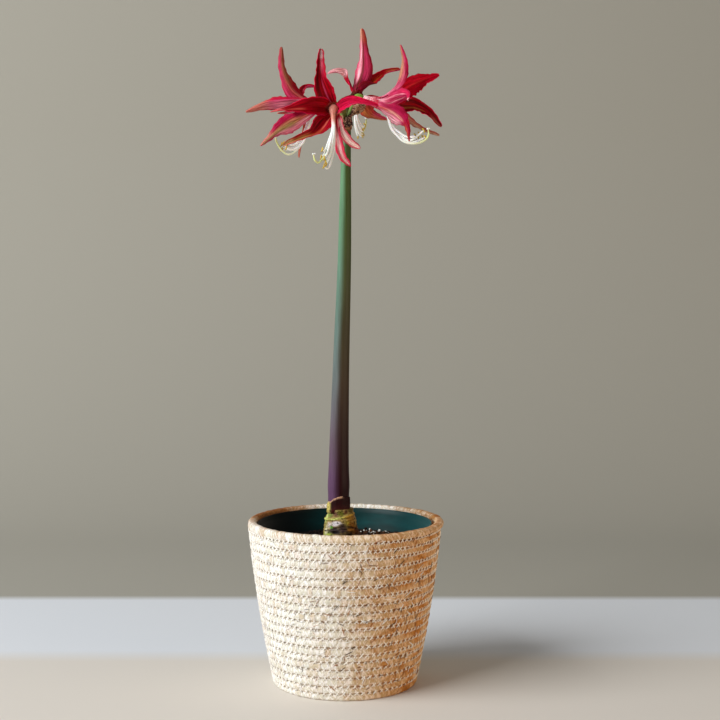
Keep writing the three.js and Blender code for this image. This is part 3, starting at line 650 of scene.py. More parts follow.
def add_loose_straws():
    """Brown and pale slivers that lie on the coils, some with a free end."""
    paint = Paint("loose straw", 0.8, 0.2)
    streak = paint.noise(paint.attribute("coords"), 3.0, 2)
    dark = paint.mix(0.5, paint.tint(), srgb(70, 46, 30))
    paint.colour(paint.mix(paint.step(streak, 0.4, 0.8), paint.tint(), dark))
    chance = random.Random(31)
    straws = Shape()
    for _ in range(LOOSE_STRAWS):
        angle = chance.uniform(0, TURN)
        if chance.random() > 0.5 + 0.5 * float(browning_and_shade(angle)):
            continue
        height = chance.uniform(6, BASKET_TOP - 6)
        length = chance.uniform(1.5, 4.5)
        tilt = chance.gauss(0.5, 0.8)
        lift = chance.choice((0, 0, 0, 0.9))
        places = []
        for share in np.linspace(-1, 1, 5):
            tall = min(max(height + length * math.sin(tilt) * share, 1), BASKET_TOP - 1)
            out = float(basket_radius(tall)) + 0.15 + lift * max(share, 0) ** 2
            turn = angle + length * math.cos(tilt) * share / out
            places.append((out * math.cos(turn), out * math.sin(turn), tall))
        # Paler on the basket's left side: painted light.
        strength = 0.4 + 0.6 * smoothstep(math.cos(angle), -0.8, -0.1)
        colour = blend(CREAM, chance.choice(STRAW_COLOURS), strength)
        radii = chance.uniform(0.2, 0.38) * np.array([0.5, 1, 1, 0.9, 0.4])
        straws.rod(places, radii, 4, colour, start=places[0])
    straws.piece("loose_straws", paint)


# ---------------------------------------------------------------- the grower's pot and its soil
POT_LOW, POT_HIGH = box_mm("grow_pot")
POT_LIP = {"radius": 84.9, "inner": 83.7, "height": 5, "shoulder": 83.2}
POT_FOOT_RADIUS, POT_WALL, POT_FLOOR = 61.5, 1.6, 2
DRAINS = {"count": 6, "radius": 4, "circle": 46}
SOIL_TOP = 134
CRUMBS, GRAINS = 520, 120
# Perlite in plain sight: x, y and size.
SEEN_GRAINS = (
    (15.5, 54, 1.3), (19, 63, 1.3), (25, 68, 1.6), (35, 68, 1.7), (41, 57, 1.5), (45, 54, 1.4),
)
PERLITE = srgb(240, 238, 230)
NECK_X = -4


def pot_radius(height):
    shoulder = POT_HIGH[2] - POT_LIP["height"]
    share = (height - POT_LOW[2]) / (shoulder - POT_LOW[2])
    return POT_FOOT_RADIUS + (POT_LIP["shoulder"] - POT_FOOT_RADIUS) * share


def add_pot():
    paint = Paint("green plastic", 0.42, 0.15)
    place = paint.attribute("coords")
    cloudy = paint.stretched(place, (0.02, 0.02, 0.08))
    green = paint.mix(paint.step(cloudy, 0.3, 0.75), srgb(4, 39, 39), srgb(6, 63, 64))
    # Painted light and shade: lighter teal towards the right side and nearly black towards the left side.
    green = paint.mix(paint.step(paint.split(place)[0], 35, 90), green, srgb(12, 74, 77))
    paint.colour(paint.mix(paint.step(paint.split(place)[0], -60, 20), srgb(2, 10, 9), green))
    fine = paint.stretched(place, (0.15, 0.15, 3), 2)
    paint.rough(paint.math("ADD", 0.33, paint.times(fine, 0.16)))
    paint.bump(fine, 0.08, 0.4)
    foot, lip = POT_LOW[2], POT_HIGH[2]
    shoulder = lip - POT_LIP["height"]
    inside = foot + POT_FLOOR
    profile = [
        [foot, 0.01], [foot, POT_FOOT_RADIUS - 0.8], [foot + 0.8, pot_radius(foot + 0.8)],
        [shoulder - 0.4, pot_radius(shoulder)], [shoulder, POT_LIP["shoulder"] + 0.5],
        [shoulder + 0.7, POT_LIP["radius"] - 0.15], [shoulder + 1.2, POT_LIP["radius"]],
        [lip - 0.4, POT_LIP["radius"]], [lip - 0.05, POT_LIP["radius"] - 0.3],
        [lip - 0.05, POT_LIP["inner"] + 0.3], [lip - 0.4, POT_LIP["inner"]],
        [shoulder + 0.6, POT_LIP["inner"]], [shoulder - 0.2, pot_radius(shoulder) - POT_WALL],
        [inside + 0.8, pot_radius(inside) - POT_WALL], [inside, pot_radius(inside) - POT_WALL - 0.8],
        [inside, 0.01],
    ]
    rings = turned_rings(profile, 144)
    pot = Shape()
    pot.sweep(rings, coords=rings)
    thing = pot.piece("green_pot", paint, ["grow_pot"])
    drills = Shape()
    for turn in range(DRAINS["count"]):
        angle = turn / DRAINS["count"] * TURN
        centre = (DRAINS["circle"] * math.cos(angle), DRAINS["circle"] * math.sin(angle))
        drill = [[foot - POT_FLOOR, DRAINS["radius"]], [foot + 2 * POT_FLOOR, DRAINS["radius"]]]
        drills.sweep(turned_rings(drill, 24, centre))
    tool = drills.piece("drills", paint)
    cut = thing.modifiers.new("drains", "BOOLEAN")
    cut.operation = "DIFFERENCE"
    cut.object = tool
    apply_modifiers(thing)
    bpy.data.objects.remove(tool)


def apply_modifiers(thing):
    """The modified mesh becomes the object's own."""
    bpy.context.view_layer.update()
    seen = thing.evaluated_get(bpy.context.evaluated_depsgraph_get())
    mesh = bpy.data.meshes.new_from_object(seen)
    thing.modifiers.clear()
    thing.data = mesh


def lump(chance, size):
    """Rings of a small uneven lump about the origin."""
    height = np.linspace(-0.86, 0.86, 5)
    rings = turned_rings(np.stack([height, np.sqrt(1 - height**2)], 1), 7)
    rings = rings * np.array([chance.uniform(0.7, 1.2) for _ in range(3)]) * size
    return rings + 0.35 * size * np.stack([grain(rings + size * 9 * k, size) for k in (1, 2, 3)], -1)


def soil_bump(place):
    return 1.5 * layered(place, 11) + 0.9 * grain(place, 3.1)


def add_soil():
    paint = Paint("potting soil", 0.95, 0.15)
    place = paint.attribute("coords")
    crumb = paint.noise(place, 0.9, 4, 0.7)
    brown = paint.mix(paint.step(crumb, 0.3, 0.7), srgb(38, 24, 18), paint.tint())
    # Painted shade: nearly black towards the left side.
    paint.colour(paint.mix(paint.step(paint.split(place)[0], -50, 12), srgb(12, 8, 6), brown))
    paint.bump(crumb, 1.2, 0.9)
    foot = POT_LOW[2] + POT_FLOOR + 0.3
    edge = pot_radius(SOIL_TOP) - POT_WALL - 1.3
    heights = [[foot, 0.01], [foot, pot_radius(foot) - POT_WALL - 1.3]]
    radii = np.concatenate([[edge], np.linspace(edge - 1.5, 1, 46)])
    profile = np.array(heights + [[SOIL_TOP, radius] for radius in radii])
    rings = turned_rings(profile, 150)
    top = rings[2:]
    settle = smoothstep(edge - np.linalg.norm(top[..., :2], axis=-1), 0, 4)
    top[..., 2] += soil_bump(top) * (0.3 + 0.7 * settle)
    soil = Shape()
    dark = blend(srgb(60, 39, 29), srgb(110, 73, 53), 0.5 + 0.5 * grain(rings, 2.2))
    soil.sweep(rings, dark, rings)
    chance = random.Random(23)
    for _ in range(CRUMBS):
        size = chance.uniform(0.8, 2.2)
        colour = chance.choice((srgb(72, 46, 34), srgb(116, 75, 50), srgb(36, 22, 17)))
        add_crumb(soil, chance, edge, size, colour)
    soil.piece("potting_soil", paint, ["soil"])
    white = Paint("perlite", 0.9, 0.3)
    spot = white.noise(white.attribute("coords"), 2.0, 3)
    white.colour(white.mix(white.step(spot, 0.35, 0.8), PERLITE, srgb(205, 200, 190)))
    white.bump(spot, 0.3, 0.7)
    perlite = Shape()
    for _ in range(GRAINS):
        add_crumb(perlite, chance, edge, chance.uniform(0.6, 1.4), PERLITE)
    for x, y, size in SEEN_GRAINS:
        add_crumb(perlite, chance, edge, size, PERLITE, (x, y))
    perlite.piece("perlite", white)


def add_crumb(shape, chance, edge, size, colour, place=None):
    if place is None:
        out = edge * math.sqrt(chance.uniform(0.075, 0.93))
        angle = chance.uniform(0, TURN)
        place = (out * math.cos(angle), out * math.sin(angle))
    top = np.array([*place, SOIL_TOP])
    rise = float(soil_bump(top))
    rings = lump(chance, size) + top + np.array([0, 0, rise + 0.45 * size])
    shape.sweep(rings, colour, rings)


# ---------------------------------------------------------------- the bulb and its neck
BULB = (
    (52, 2), (52, 13), (58, 29), (74, 40.5), (92, 42), (108, 36), (121, 25.5), (131, 19.2), (140, 17.7),
    (146, 17.1), (149.2, 16.8), (150, 15.8), (155, 15.6), (159.6, 15), (160.6, 14.1), (163, 13.4),
    (164, 13), (165, 12.3), (169, 11.9),
)
# Patches on the neck: turn from -Y towards +X and height of its middle, its reach in both, a colour.
# The pale patches on the left side and lower middle are partly painted highlights, and the dark ones on the
# right partly painted shade.
NECK_PATCHES = (
    (-50, 144, 24, 5, srgb(160, 176, 70)), (-60, 150, 12, 5, srgb(206, 196, 158)),
     (-14, 141, 20, 3, srgb(126, 80, 52)),
    (-20, 149, 30, 3.6, srgb(30, 24, 34)), (-44, 154.5, 12, 3, srgb(240, 224, 212)),
     (-36, 152.6, 7, 1.8, srgb(84, 150, 36)),
    (-14, 156, 20, 2.6, srgb(226, 218, 222)), (10, 152, 18, 4, srgb(66, 50, 50)),
     (30, 156, 12, 4, srgb(170, 148, 50)),
    (48, 152, 22, 7, srgb(150, 92, 26)), (72, 146, 22, 9, srgb(110, 52, 10)),
     (26, 144, 22, 5, srgb(34, 16, 10)),
    (46, 161, 26, 3, srgb(150, 106, 36)), (-52, 165, 18, 3, srgb(120, 140, 60)),
     (-22, 165, 14, 2.6, srgb(96, 58, 42)),
    (0, 166, 16, 3, srgb(96, 98, 24)), (26, 166.5, 12, 2, srgb(92, 42, 20)),
     (-46, 169, 12, 2, srgb(214, 196, 96)),
    (56, 168, 20, 3, srgb(86, 72, 22)), (-72, 160, 10, 4, srgb(196, 214, 124)),
)
SHEATH = {"radius": 11.3, "foot": 165, "low": 171, "high": 182, "high_side": -0.9}
# Round the sheath's wall: share of its height and how far it stands off its radius.
SHEATH_SECTION = (
    (0, 0.4), (0.3, 0.25), (0.6, 0.3), (0.85, 0.25), (0.96, 0.3), (1, 0.2), (1, -0.35), (0.9, -0.5),
    (0.5, -0.6), (0, -0.6),
)
LEAN = ((150, -6.2), (187, -6.1), (231, -5.6), (316, -3.4), (401, -0.6), (459, 0.5), (543, 1.7))


def lean(height):
    return smooth_table(LEAN, height)


def add_bulb():
    paint = Paint("bulb skin", 0.55, 0.12)
    place = paint.attribute("coords")
    streak = paint.stretched(place, (0.45, 0.45, 0.75), 4, 0.65)
    dark = paint.mix(0.85, paint.tint(), srgb(34, 18, 14))
    paint.colour(paint.mix(paint.step(streak, 0.52, 0.62), paint.tint(), dark))
    paint.bump(streak, 0.5, 0.7)
    heights = np.concatenate([[52, 52.1], np.linspace(58, 128, 16), np.linspace(130, 169, 90)])
    table = np.array(BULB, float)
    radius = np.interp(heights, table[:, 0], table[:, 1])
    radius[0] = 2
    rings = turned_rings(np.stack([heights, radius], 1), 110, (NECK_X, 0))
    turn = np.arctan2(rings[..., 0] - NECK_X, -rings[..., 1])
    height = rings[..., 2]
    ring_slant = height - 2.6 * np.sin(turn - 0.1)
    rough = smoothstep(height, 125, 134)
    swell = rough * (0.9 * layered(rings * (1, 1, 1.5), 6.5) + 0.3 * grain(rings, 1.6))
    scar = hump(ring_slant, 161.6, 0.75)
    lower_scar = hump(height - 2.5 * np.sin(turn * 2 + 1), 150.3, 0.8)
    hole = np.exp(-(((turn + 0.38) / 0.22) ** 2) - ((height - 147.4) / 1.7) ** 2)
    swell = swell + 0.5 * scar - 0.55 * lower_scar - 2.0 * hole
    swell = swell - 0.25 * rough * (np.mod(ring_slant, 3.4) < 0.7)
    away = unit(rings * (1, 1, 0) - np.array([NECK_X, 0, 0]))
    rings = rings + away * swell[..., None]
    tint = blend(srgb(142, 106, 70), srgb(170, 156, 84), 0.5 + 0.5 * grain(rings, 9))
    for middle_turn, middle, wide, tall, colour in NECK_PATCHES:
        off = (np.degrees(turn) - middle_turn) / wide
        apart = off**2 + ((height + 1.2 * grain(rings, 5) - middle) / tall) ** 2 + 0.5 * grain(rings, 2.1)
        tint = blend(tint, colour, 0.95 * np.exp(-(np.clip(apart, 0, None) ** 2.4)))
    scar_tint = blend(srgb(204, 214, 110), srgb(196, 150, 50), smoothstep(turn, -0.2, 0.5))
    tint = blend(tint, scar_tint, 0.95 * scar)
    # Painted shade: the dent of the hole nearly black and the groove of the lower scar darker.
    tint = blend(tint, srgb(20, 12, 12), np.clip(hole * 1.3, 0, 1))
    tint = blend(tint, srgb(60, 40, 34), 0.6 * np.clip(lower_scar, 0, 1))
    bulb = Shape()
    bulb.sweep(rings, tint, rings)
    add_sheath(bulb)
    bulb.piece("bulb_neck", paint, ["bulb"])


def add_sheath(bulb):
    """The papery sleeve round the stalk's foot, torn lower on its left."""
    turn = circle(120)
    cosine = np.cos(turn - SHEATH["high_side"])
    top = SHEATH["low"] + (SHEATH["high"] - SHEATH["low"]) * (0.5 + 0.5 * cosine)
    ragged = around(30, turn, 0.0)
    top = np.minimum(top + 1.0 * grain(ragged, 9) + 0.5 * grain(ragged, 3), SHEATH["high"])
    low = SHEATH["foot"]
    centre = float(lean(SHEATH["low"]))
    rows = []
    tints = []
    for share, out in SHEATH_SECTION:
        height = low + (top - low) * share
        wave = 0.22 * grain(np.stack([ragged[:, 0], ragged[:, 1], height], 1), 6)
        radius = SHEATH["radius"] - 0.1 + out + wave * (share > 0.1)
        rows.append(around(radius, turn, height) + (centre, 0, 0))
        edge = smoothstep(share, 0.86, 0.97)
        # Paler yellow on the left side: partly the sheath's own colour and partly painted light.
        left = smoothstep(-rows[-1][:, 0] + centre, 6.5, 9.5)
        base = blend(srgb(40, 4, 7), srgb(76, 26, 22), 0.7 * (1 - smoothstep(height, 168, 173)))
        base = blend(base, srgb(214, 196, 110), left)
        ridge = edge * smoothstep(-np.sin(turn), 0.3, 0.8) * (1 - smoothstep(np.cos(turn), 0.3, 0.55))
        tints.append(blend(base, srgb(196, 152, 122), ridge))
    bulb.sweep(rows, tints, rows, joined=True)


# ---------------------------------------------------------------- the stalk, stems and ovaries
# Radius of the stalk at each height.
SCAPE = (
    (150, 10.3), (180, 10.3), (192, 10.7), (206, 10.1), (231, 9.45), (296, 8.2), (338, 7.6), (401, 6.65),
    (459, 5.85), (503, 4.9), (543, 4.4),
)
STALK_SIDES = 64
BLOOM_AND_SHEEN_SIDE = 192  # degrees from +X to where the waxy bloom and the painted sheen of light are thickest
TUBE_LENGTH = 17
PEDICEL_RADIUS = 2.1
OVARY = {"radius": 3.6, "length": 9}
# Up the stalk: height, the colour of its skin and of the waxy bloom on its left side, with a painted sheen
# of light in it.
STALK_COLOURS = (
    (150, srgb(36, 2, 6), srgb(92, 60, 90)), (200, srgb(38, 5, 8), srgb(98, 70, 98)),
    (235, srgb(46, 25, 20), srgb(100, 84, 96)), (290, srgb(60, 46, 32), srgb(100, 108, 108)),
    (345, srgb(66, 60, 40), srgb(96, 118, 110)), (400, srgb(66, 72, 42), srgb(92, 126, 106)),
    (450, srgb(64, 78, 40), srgb(96, 138, 106)), (532, srgb(60, 80, 36), srgb(106, 152, 112)),
    (543, srgb(66, 70, 28), srgb(98, 120, 66)),
)


def stalk_paint():
    paint = Paint("stalk skin", 0.45, 0.13)
    place = paint.attribute("coords")
    lines = paint.stretched(place, (1.1, 1.1, 0.012))
    cloud = paint.stretched(place, (0.05, 0.05, 0.012))
    pale = paint.mix(1.0, paint.tint(), (1.2, 1.2, 1.25), "MULTIPLY")
    colour = paint.mix(paint.step(cloud, 0.35, 0.7), paint.tint(), pale)
    dark = paint.mix(1.0, colour, (0.72, 0.7, 0.7), "MULTIPLY")
    paint.colour(paint.mix(paint.step(lines, 0.45, 0.75), colour, dark))
    paint.bump(lines, 0.12, 0.5)
    return paint


def add_scape():
    heights = np.concatenate([np.linspace(150, 200, 20), np.linspace(205, 543, 110)])
    rings = turned_rings(np.stack([heights, smooth_table(SCAPE, heights)], 1), STALK_SIDES)
    ribs = 0.12 * np.sin(9 * np.arctan2(rings[..., 1], rings[..., 0]) + 0.6)
    rings[..., :2] *= (1 + ribs * 0.06)[..., None]
    rings[..., 0] += lean(rings[..., 2])
    heights, *colours = zip(*STALK_COLOURS)
    skin, bloom = (
        np.stack([np.interp(rings[..., 2], heights, channel) for channel in np.transpose(table)], -1)
        for table in colours
    )
    # The paler left side is partly waxy bloom and partly painted sheen of light.
    left = np.cos(circle(STALK_SIDES) - math.radians(BLOOM_AND_SHEEN_SIDE))[None]
    tint = blend(skin, bloom, 0.92 * smoothstep(left + 0.12 * grain(rings * (1, 1, 0.06), 2), 0.0, 0.95))
    knot = smoothstep(rings[..., 2], 534.6, 536) * (1 - smoothstep(rings[..., 2], 538.6, 539.4))
    tint = blend(tint, srgb(150, 92, 56), 0.9 * knot)
    tint = blend(tint, srgb(58, 26, 20), 0.9 * smoothstep(rings[..., 2], 538.8, 540))
    scape = Shape()
    scape.sweep(rings, tint, rings)
    for bloom in BLOOMS.values():
        add_stem(scape, bloom)
    scape.piece("flower_stalk", stalk_paint(), ["scape"])


def add_stem(scape, bloom):
    axis = facing(bloom)
    top = np.array(bloom["throat"], float) - axis * (TUBE_LENGTH + 0.3)
    line = np.array([*bloom["pedicel"], top - axis * OVARY["length"] / 2], float)
    places = spline(line, np.linspace(0, 1, 18))
    green = blend(srgb(84, 92, 40), bloom.get("stem", srgb(136, 168, 84)), np.linspace(0, 1, 18))
    scape.rod(places, np.linspace(PEDICEL_RADIUS * 1.1, PEDICEL_RADIUS, 18), 14, green)
    share = np.linspace(0, 1, 12)
    swell = np.sqrt(np.clip(1 - (2 * share - 1) ** 2 * 0.78, 0, 1))
    angle = circle(24)
    lobes = 1 + 0.07 * np.cos(3 * angle)
    out = spokes(axis, angle)
    radius = OVARY["radius"] * swell[:, None] * lobes[None]
    rings = top - axis * OVARY["length"] * (1 - share)[:, None, None] + out[None] * radius[..., None]
    scape.sweep(rings, bloom.get("stem", srgb(128, 168, 64)), rings)


# ---------------------------------------------------------------- the flowers
TEPAL = {"thickness": 0.9, "fold": 20, "curl": 18, "curl_tip": 62, "ripple": 0.7, "waves": 2.6}
TEPAL_ROOT, TEPAL_SUNK, TEPAL_MIDDLE = 4.7, 3.5, 0.45
TEPAL_ROWS, TEPAL_HALVES = 80, 12
THROAT_DEPTH = 8
# Up the outside of the tube and down its inside: length, radius and share of the upper colour.
TUBE_SECTION = (
    (0, 2.6, 0), (0.3, 3.3, 0), (4, 3.6, 0.2), (8, 4.3, 0.5), (12, 5.2, 0.8), (15.5, 6.0, 1),
    (16.6, 6.2, 1), (17.2, 5.6, 1), (16.7, 4.6, 1), (14, 3.3, 1), (9.5, 3.05, 1), (9, 2.4, 1),
)
TUBE_INSIDE = 7  # the first of them that lies inside
# Half-width along a tepal, as a share of its largest.
OUTLINES = {
    "leaf": ((0, 0.25), (0.1, 0.45), (0.22, 0.8), (0.35, 1), (0.48, 0.96), (0.62, 0.72), (0.76, 0.46),
        (0.88, 0.27), (0.96, 0.15), (1, 0.06)),
    "dart": ((0, 0.25), (0.1, 0.62), (0.2, 0.88), (0.33, 1), (0.44, 0.93), (0.55, 0.68), (0.66, 0.42),
        (0.8, 0.25), (0.92, 0.15), (1, 0.05)),
    "bottle": ((0, 0.3), (0.1, 0.6), (0.2, 0.84), (0.3, 0.94), (0.4, 0.88), (0.5, 0.69), (0.62, 0.52),
        (0.76, 0.42), (0.9, 0.37), (0.97, 0.28), (1, 0.12)),
    "fin": ((0, 0.25), (0.12, 0.34), (0.22, 0.6), (0.32, 0.94), (0.42, 1), (0.5, 0.82), (0.6, 0.52),
        (0.72, 0.42), (0.86, 0.37), (0.95, 0.29), (1, 0.12)),
    "horn": ((0, 0.3), (0.1, 0.58), (0.2, 0.82), (0.3, 0.97), (0.4, 1), (0.5, 0.9), (0.6, 0.72),
        (0.7, 0.56), (0.8, 0.46), (0.9, 0.38), (0.97, 0.28), (1, 0.12)),
    "spoon": ((0, 0.35), (0.2, 0.5), (0.4, 0.78), (0.6, 0.97), (0.75, 1), (0.88, 0.82), (0.96, 0.5),
        (1, 0.12)),
    "broad": ((0, 0.3), (0.15, 0.6), (0.3, 0.92), (0.45, 1), (0.6, 0.92), (0.74, 0.7), (0.86, 0.47),
        (0.95, 0.3), (1, 0.14)),
    "late": ((0, 0.3), (0.15, 0.42), (0.32, 0.68), (0.5, 1), (0.6, 1), (0.72, 0.74), (0.84, 0.5),
        (0.94, 0.33), (1, 0.12)),
    "hook": ((0, 0.3), (0.15, 0.55), (0.3, 0.85), (0.45, 1), (0.55, 0.92), (0.63, 0.68), (0.71, 0.38),
        (0.85, 0.24), (1, 0.06)),
}

# Each bloom: its throat, the way it faces, its own colours of stem, tube or cup, the points that
# its stem runs through, six tepals and its filaments.
# A tepal has four points from the throat, its width, the look of its inner face near the
# middle and at the tip, its outline and its paint. A filament has its points from the throat,
# from where it leaves the others to its end, and the last line of a bloom is its style.
BLOOMS = {
    "front": {
        "throat": (-9, -31, 551),
        "faces": (-34, -93, -12),
        "stem": srgb(96, 92, 40),
        "pedicel": ((1, -2, 541), (0, -5, 550)),
        "tepals": (
            ((-6, -7, 9), (-12, -11, 25), (-13, -9, 41), (-13, -4, 55), 22, (0, -3, -1), (1, -3, 0),
             "bottle", "velvet"),
            ((-15, -11, 1), (-29, -15, -0.5), (-44, -11, -2), (-60, -3, -3), 20, (0, -3, 0), (0, -2, 2),
             "dart", "dart"),
            ((-7.8, -9.7, -12), (-17, -17, -23.5), (-31, -20, -29.5), (-47, -19, -36.5), 20, (0, -3, 1),
             (0, -2, 1), "fin", "flame"),
            ((2, -8, -17), (3, -12, -30), (6.5, -14, -45), (15, -13, -55), 10.5, (0, -3, 1), (0, -3, 1),
             "spoon", "ribbon"),
            ((5, -7, -12), (8, -11, -23), (14, -12, -32), (24, -10, -38), 10, (-1, -3, 1), (-1, -3, 1),
             "spoon", "cream"),
            ((5, -6, 0), (14, -8, 4), (26, -7, 4.8), (41, -3, 2.3), 15, (-1, -3, 2), (0, -2, 1), "horn",
             "bright"),
        ),
        "filaments": (
            ((-1.4, -21.4, -20), (-5, -31, -34), (-8, -39, -43), (-10.5, -43, -43)),
            ((-1.1, -21.3, -20), (-4.5, -31, -35), (-7.5, -39, -45), (-11.5, -43, -50)),
            ((0, -20, -20), (0, -29, -39), (-2.5, -37, -53), (-5.5, -41, -60), (-9, -44, -58)),
            ((-0.5, -20, -20), (-1.5, -29, -38), (-4, -36, -49), (-7, -41, -56)),
            ((-1, -23, -20), (-3.5, -34, -36), (-6, -42, -46), (-8.5, -46, -51)),
            ((0, -23, -20), (-2, -34, -38), (-4.5, -41, -49), (-7.5, -46, -54)),
            ((-1, -22, -20), (-4, -33, -37), (-8, -41, -48), (-13.5, -46, -55), (-17, -49, -53),
             (-18, -49, -48)),
        ),
    },
    "left": {
        "throat": (-27, 8, 557),
        "faces": (-93, 36, -10),
        "pedicel": ((0, 1, 541), (-3, 1, 552)),
        "tepals": (
            ((-15, 2, 12), (-26, 1, 22.5), (-33, 0, 41), (-34.2, 1, 60), 17.5, (-1, 3, 0), (-1, 3, 0),
             "horn", "dusk"),
            ((-15, -2, 8), (-30, -8, 7), (-49, -11, 4), (-68, -11, -4), 18, (0, 3, -1), (0, 3, -1),
             "late", "streaked"),
            ((-13, -10, 0), (-21, -20, -5.5), (-29, -28, -8.5), (-36, -34, -9), 15, (-1, 1, 2),
             (-1, 0, 2), "leaf", "magenta"),
            ((-8, -7.8, -6), (-22, -14, -14), (-37, -20, -24), (-53, -22, -38), 23, (0, 3, 1), (0, 3, 1),
             "leaf", "halves"),
            ((-13, 8, 11), (-14, 16, 20), (-10.5, 22, 24.5), (-1, 24, 25.5), 9, (-1, -1, 1), (0, -1, 2),
             "spoon", "velvet"),
            ((-7, 10, -5), (-12, 16, -18), (-16, 17, -32), (-18, 13, -45), 9, (-1, -1, 0), (-1, -1, 0),
             "bottle", "tan_in"),
        ),
        "filaments": (
            ((-10.5, -2, -20), (-15, -6, -32), (-22, -9, -38), (-28.5, -11, -38), (-32, -13, -34)),
            ((-9.5, 0, -20), (-14, -4, -32), (-20.5, -7, -39), (-28.5, -9, -40), (-33.5, -11, -40)),
            ((-10.7, -2.3, -19.3), (-17, -7, -31), (-22.5, -10, -36), (-27.5, -12, -35), (-29, -14, -34)),
            ((-10, 1, -21), (-15.5, -2, -33), (-22.5, -5, -38), (-29.5, -7, -38), (-34, -9, -35)),
            ((-11, 0, -19), (-18, -3, -32), (-25, -6, -36), (-29.5, -8, -36), (-31, -10, -35)),
            ((-9, -4, -20), (-13, -8, -33), (-19, -11, -39), (-24.5, -13, -41), (-29, -14, -39)),
            ((-8.5, -1, -20), (-13, -5, -31), (-18, -8, -39), (-26.5, -10, -45), (-33.5, -12, -41),
             (-38, -13, -34), (-39.5, -13, -29)),
        ),
    },
    "right": {
        "throat": (34, -8, 560),
        "faces": (92, -25, -30),
        "tube": srgb(250, 214, 220),
        "pedicel": ((3, -1, 541), (7, -1, 557)),
        "tepals": (
            ((6, -2, 8), (17, -1, 19), (21.6, 1, 38), (19.3, 4, 56.3), 13.5, (3, 3, 0), (3, 2, 0), "late",
             "rose"),
            ((16, 10, 9), (29, 18, 19), (42, 24, 26), (58, 28, 32), 22, (1, -3, 0), (0, -3, 0), "broad",
             "velvet_rib"),
            ((5, -9, 2), (15, -20, 4), (24, -30, 3.5), (25, -36, -2.5), 17, (1, 3, 0), (3, 1, 1), "broad",
             "rolled"),
            ((19, 10, -1), (34, 16, -1), (48, 19, -7), (60, 18, -19.5), 21, (0, -3, 1.2), (0, -3, 0),
             "horn", "olive_rib"),
            ((3, -9, -6), (14, -17, -13), (24, -22, -24), (27, -23, -39), 21, (0, 3, 1), (1, 2, 0),
             "hook", "halves_up"),
            ((15, 10, -7), (30, 16, -15.5), (44, 20, -23.3), (58, 20, -28), 13, (0, 2, 2), (0, 2, 2),
             "bottle", "tan"),
        ),
        "filaments": (
            ((10.5, 0, -21), (16, -3, -28), (23.5, -7, -33), (29.5, -10, -33), (33, -12, -32)),
            ((10.5, -2, -22), (17, -5, -30), (25.5, -9, -36), (33, -12, -35), (36.5, -14, -31)),
            ((10, 1, -22), (15.5, -2, -30), (23, -6, -36), (32, -10, -38), (40, -13, -34)),
            ((11.5, -3, -21), (18, -6, -28), (25.5, -10, -33), (34, -14, -33), (41, -17, -28)),
            ((9.5, -1, -21), (14.5, -4, -29), (22.5, -8, -36), (33, -12, -39), (42.5, -15, -34)),
            ((11.5, 2, -21), (19, -1, -28), (26.5, -5, -34), (32, -8, -36), (36.5, -11, -35)),
            ((10, -4, -21), (15, -7, -30), (23, -11, -38), (34, -15, -40), (42.5, -18, -37),
             (45.5, -19, -32), (45, -19, -27)),
        ),
    },
    "back": {
        "throat": (12, 30, 574),
        "faces": (31, 88, 30),
        # The back bloom's dark stem and cup are painted shade.
        "stem": srgb(60, 44, 20),
        "cup": srgb(124, 8, 26),
        "pedicel": ((3, 2, 541), (3, 3, 555)),
        "tepals": (
            ((1.5, 4, 12), (5.5, 8, 26), (6, 8, 46), (4.3, 4, 66), 21, (1, 3, 0), (1, 3, 0), "horn",
             "two_tone"),
            ((8, 5, 8), (16.5, 12, 16.3), (28, 15, 24.2), (43, 14, 27.5), 18.5, (0, -3, 1), (0, -2, 2),
             "bottle", "amber_rib"),
            ((-5, 5, 8), (-9.5, 10, 18.5), (-14, 10, 25), (-29, 4, 22), 8, (-2, -2, -1), (0, -1, 2),
             "spoon", "blush_tip"),
            ((6, 8, -9), (12, 15, -17), (22, 20, -20), (33, 22, -21), 19, (0, 2, 2), (0, 2, 2), "leaf",
             "amber"),
            ((-5, 9, -3), (-9, 21, -6), (-9, 34, -9), (-8, 46, -10), 13, (0, 2, 2), (0, 2, 2), "leaf",
             "streaked"),
            ((12, 9, -3), (26, 20, -7), (38, 30, -9), (46, 38, -12), 13, (0, -2, 1), (0, -1, 2), "leaf",
             "velvet_rib"),
        ),
        "filaments": (
            ((1, 22, -9), (-2, 20, -18), (-2, 24, -27), (0.5, 28, -37)),
            ((1, 22, -9), (-1.5, 20, -17), (0.5, 24, -26), (3.5, 28, -34), (6, 30, -34)),
            ((2, 22, -9), (-1, 21, -17), (1.5, 25, -25), (4.5, 29, -31), (6, 31, -29)),
            ((2, 23, -9), (0, 22, -17), (3, 27, -24), (6, 30, -27), (7.5, 31, -25)),
            ((1, 21, -9), (-2, 19, -18), (-0.5, 23, -29), (3, 27, -36), (5, 29, -36)),
            ((1, 21, -9), (-0.5, 19, -18), (2, 23, -28), (5, 27, -32), (5, 29, -31)),
            ((2, 23, -9), (-1, 22, -17), (1.5, 26, -27), (5.5, 30, -32), (8.5, 32, -25), (9, 32, -18)),
        ),
    },
}

VELVET = srgb(158, 0, 18)
DEEP = srgb(88, 0, 6)
CRIMSON = srgb(204, 8, 54)
BRIGHT = srgb(226, 26, 84)
MAGENTA = srgb(182, 24, 84)
PINK = srgb(218, 84, 130)
BLUSH = srgb(248, 196, 206)
FLESH = srgb(232, 152, 134)
SALMON = srgb(216, 116, 92)
TIP_TAN = srgb(198, 136, 78)
AMBER = srgb(176, 84, 34)
LIME = srgb(188, 202, 120)

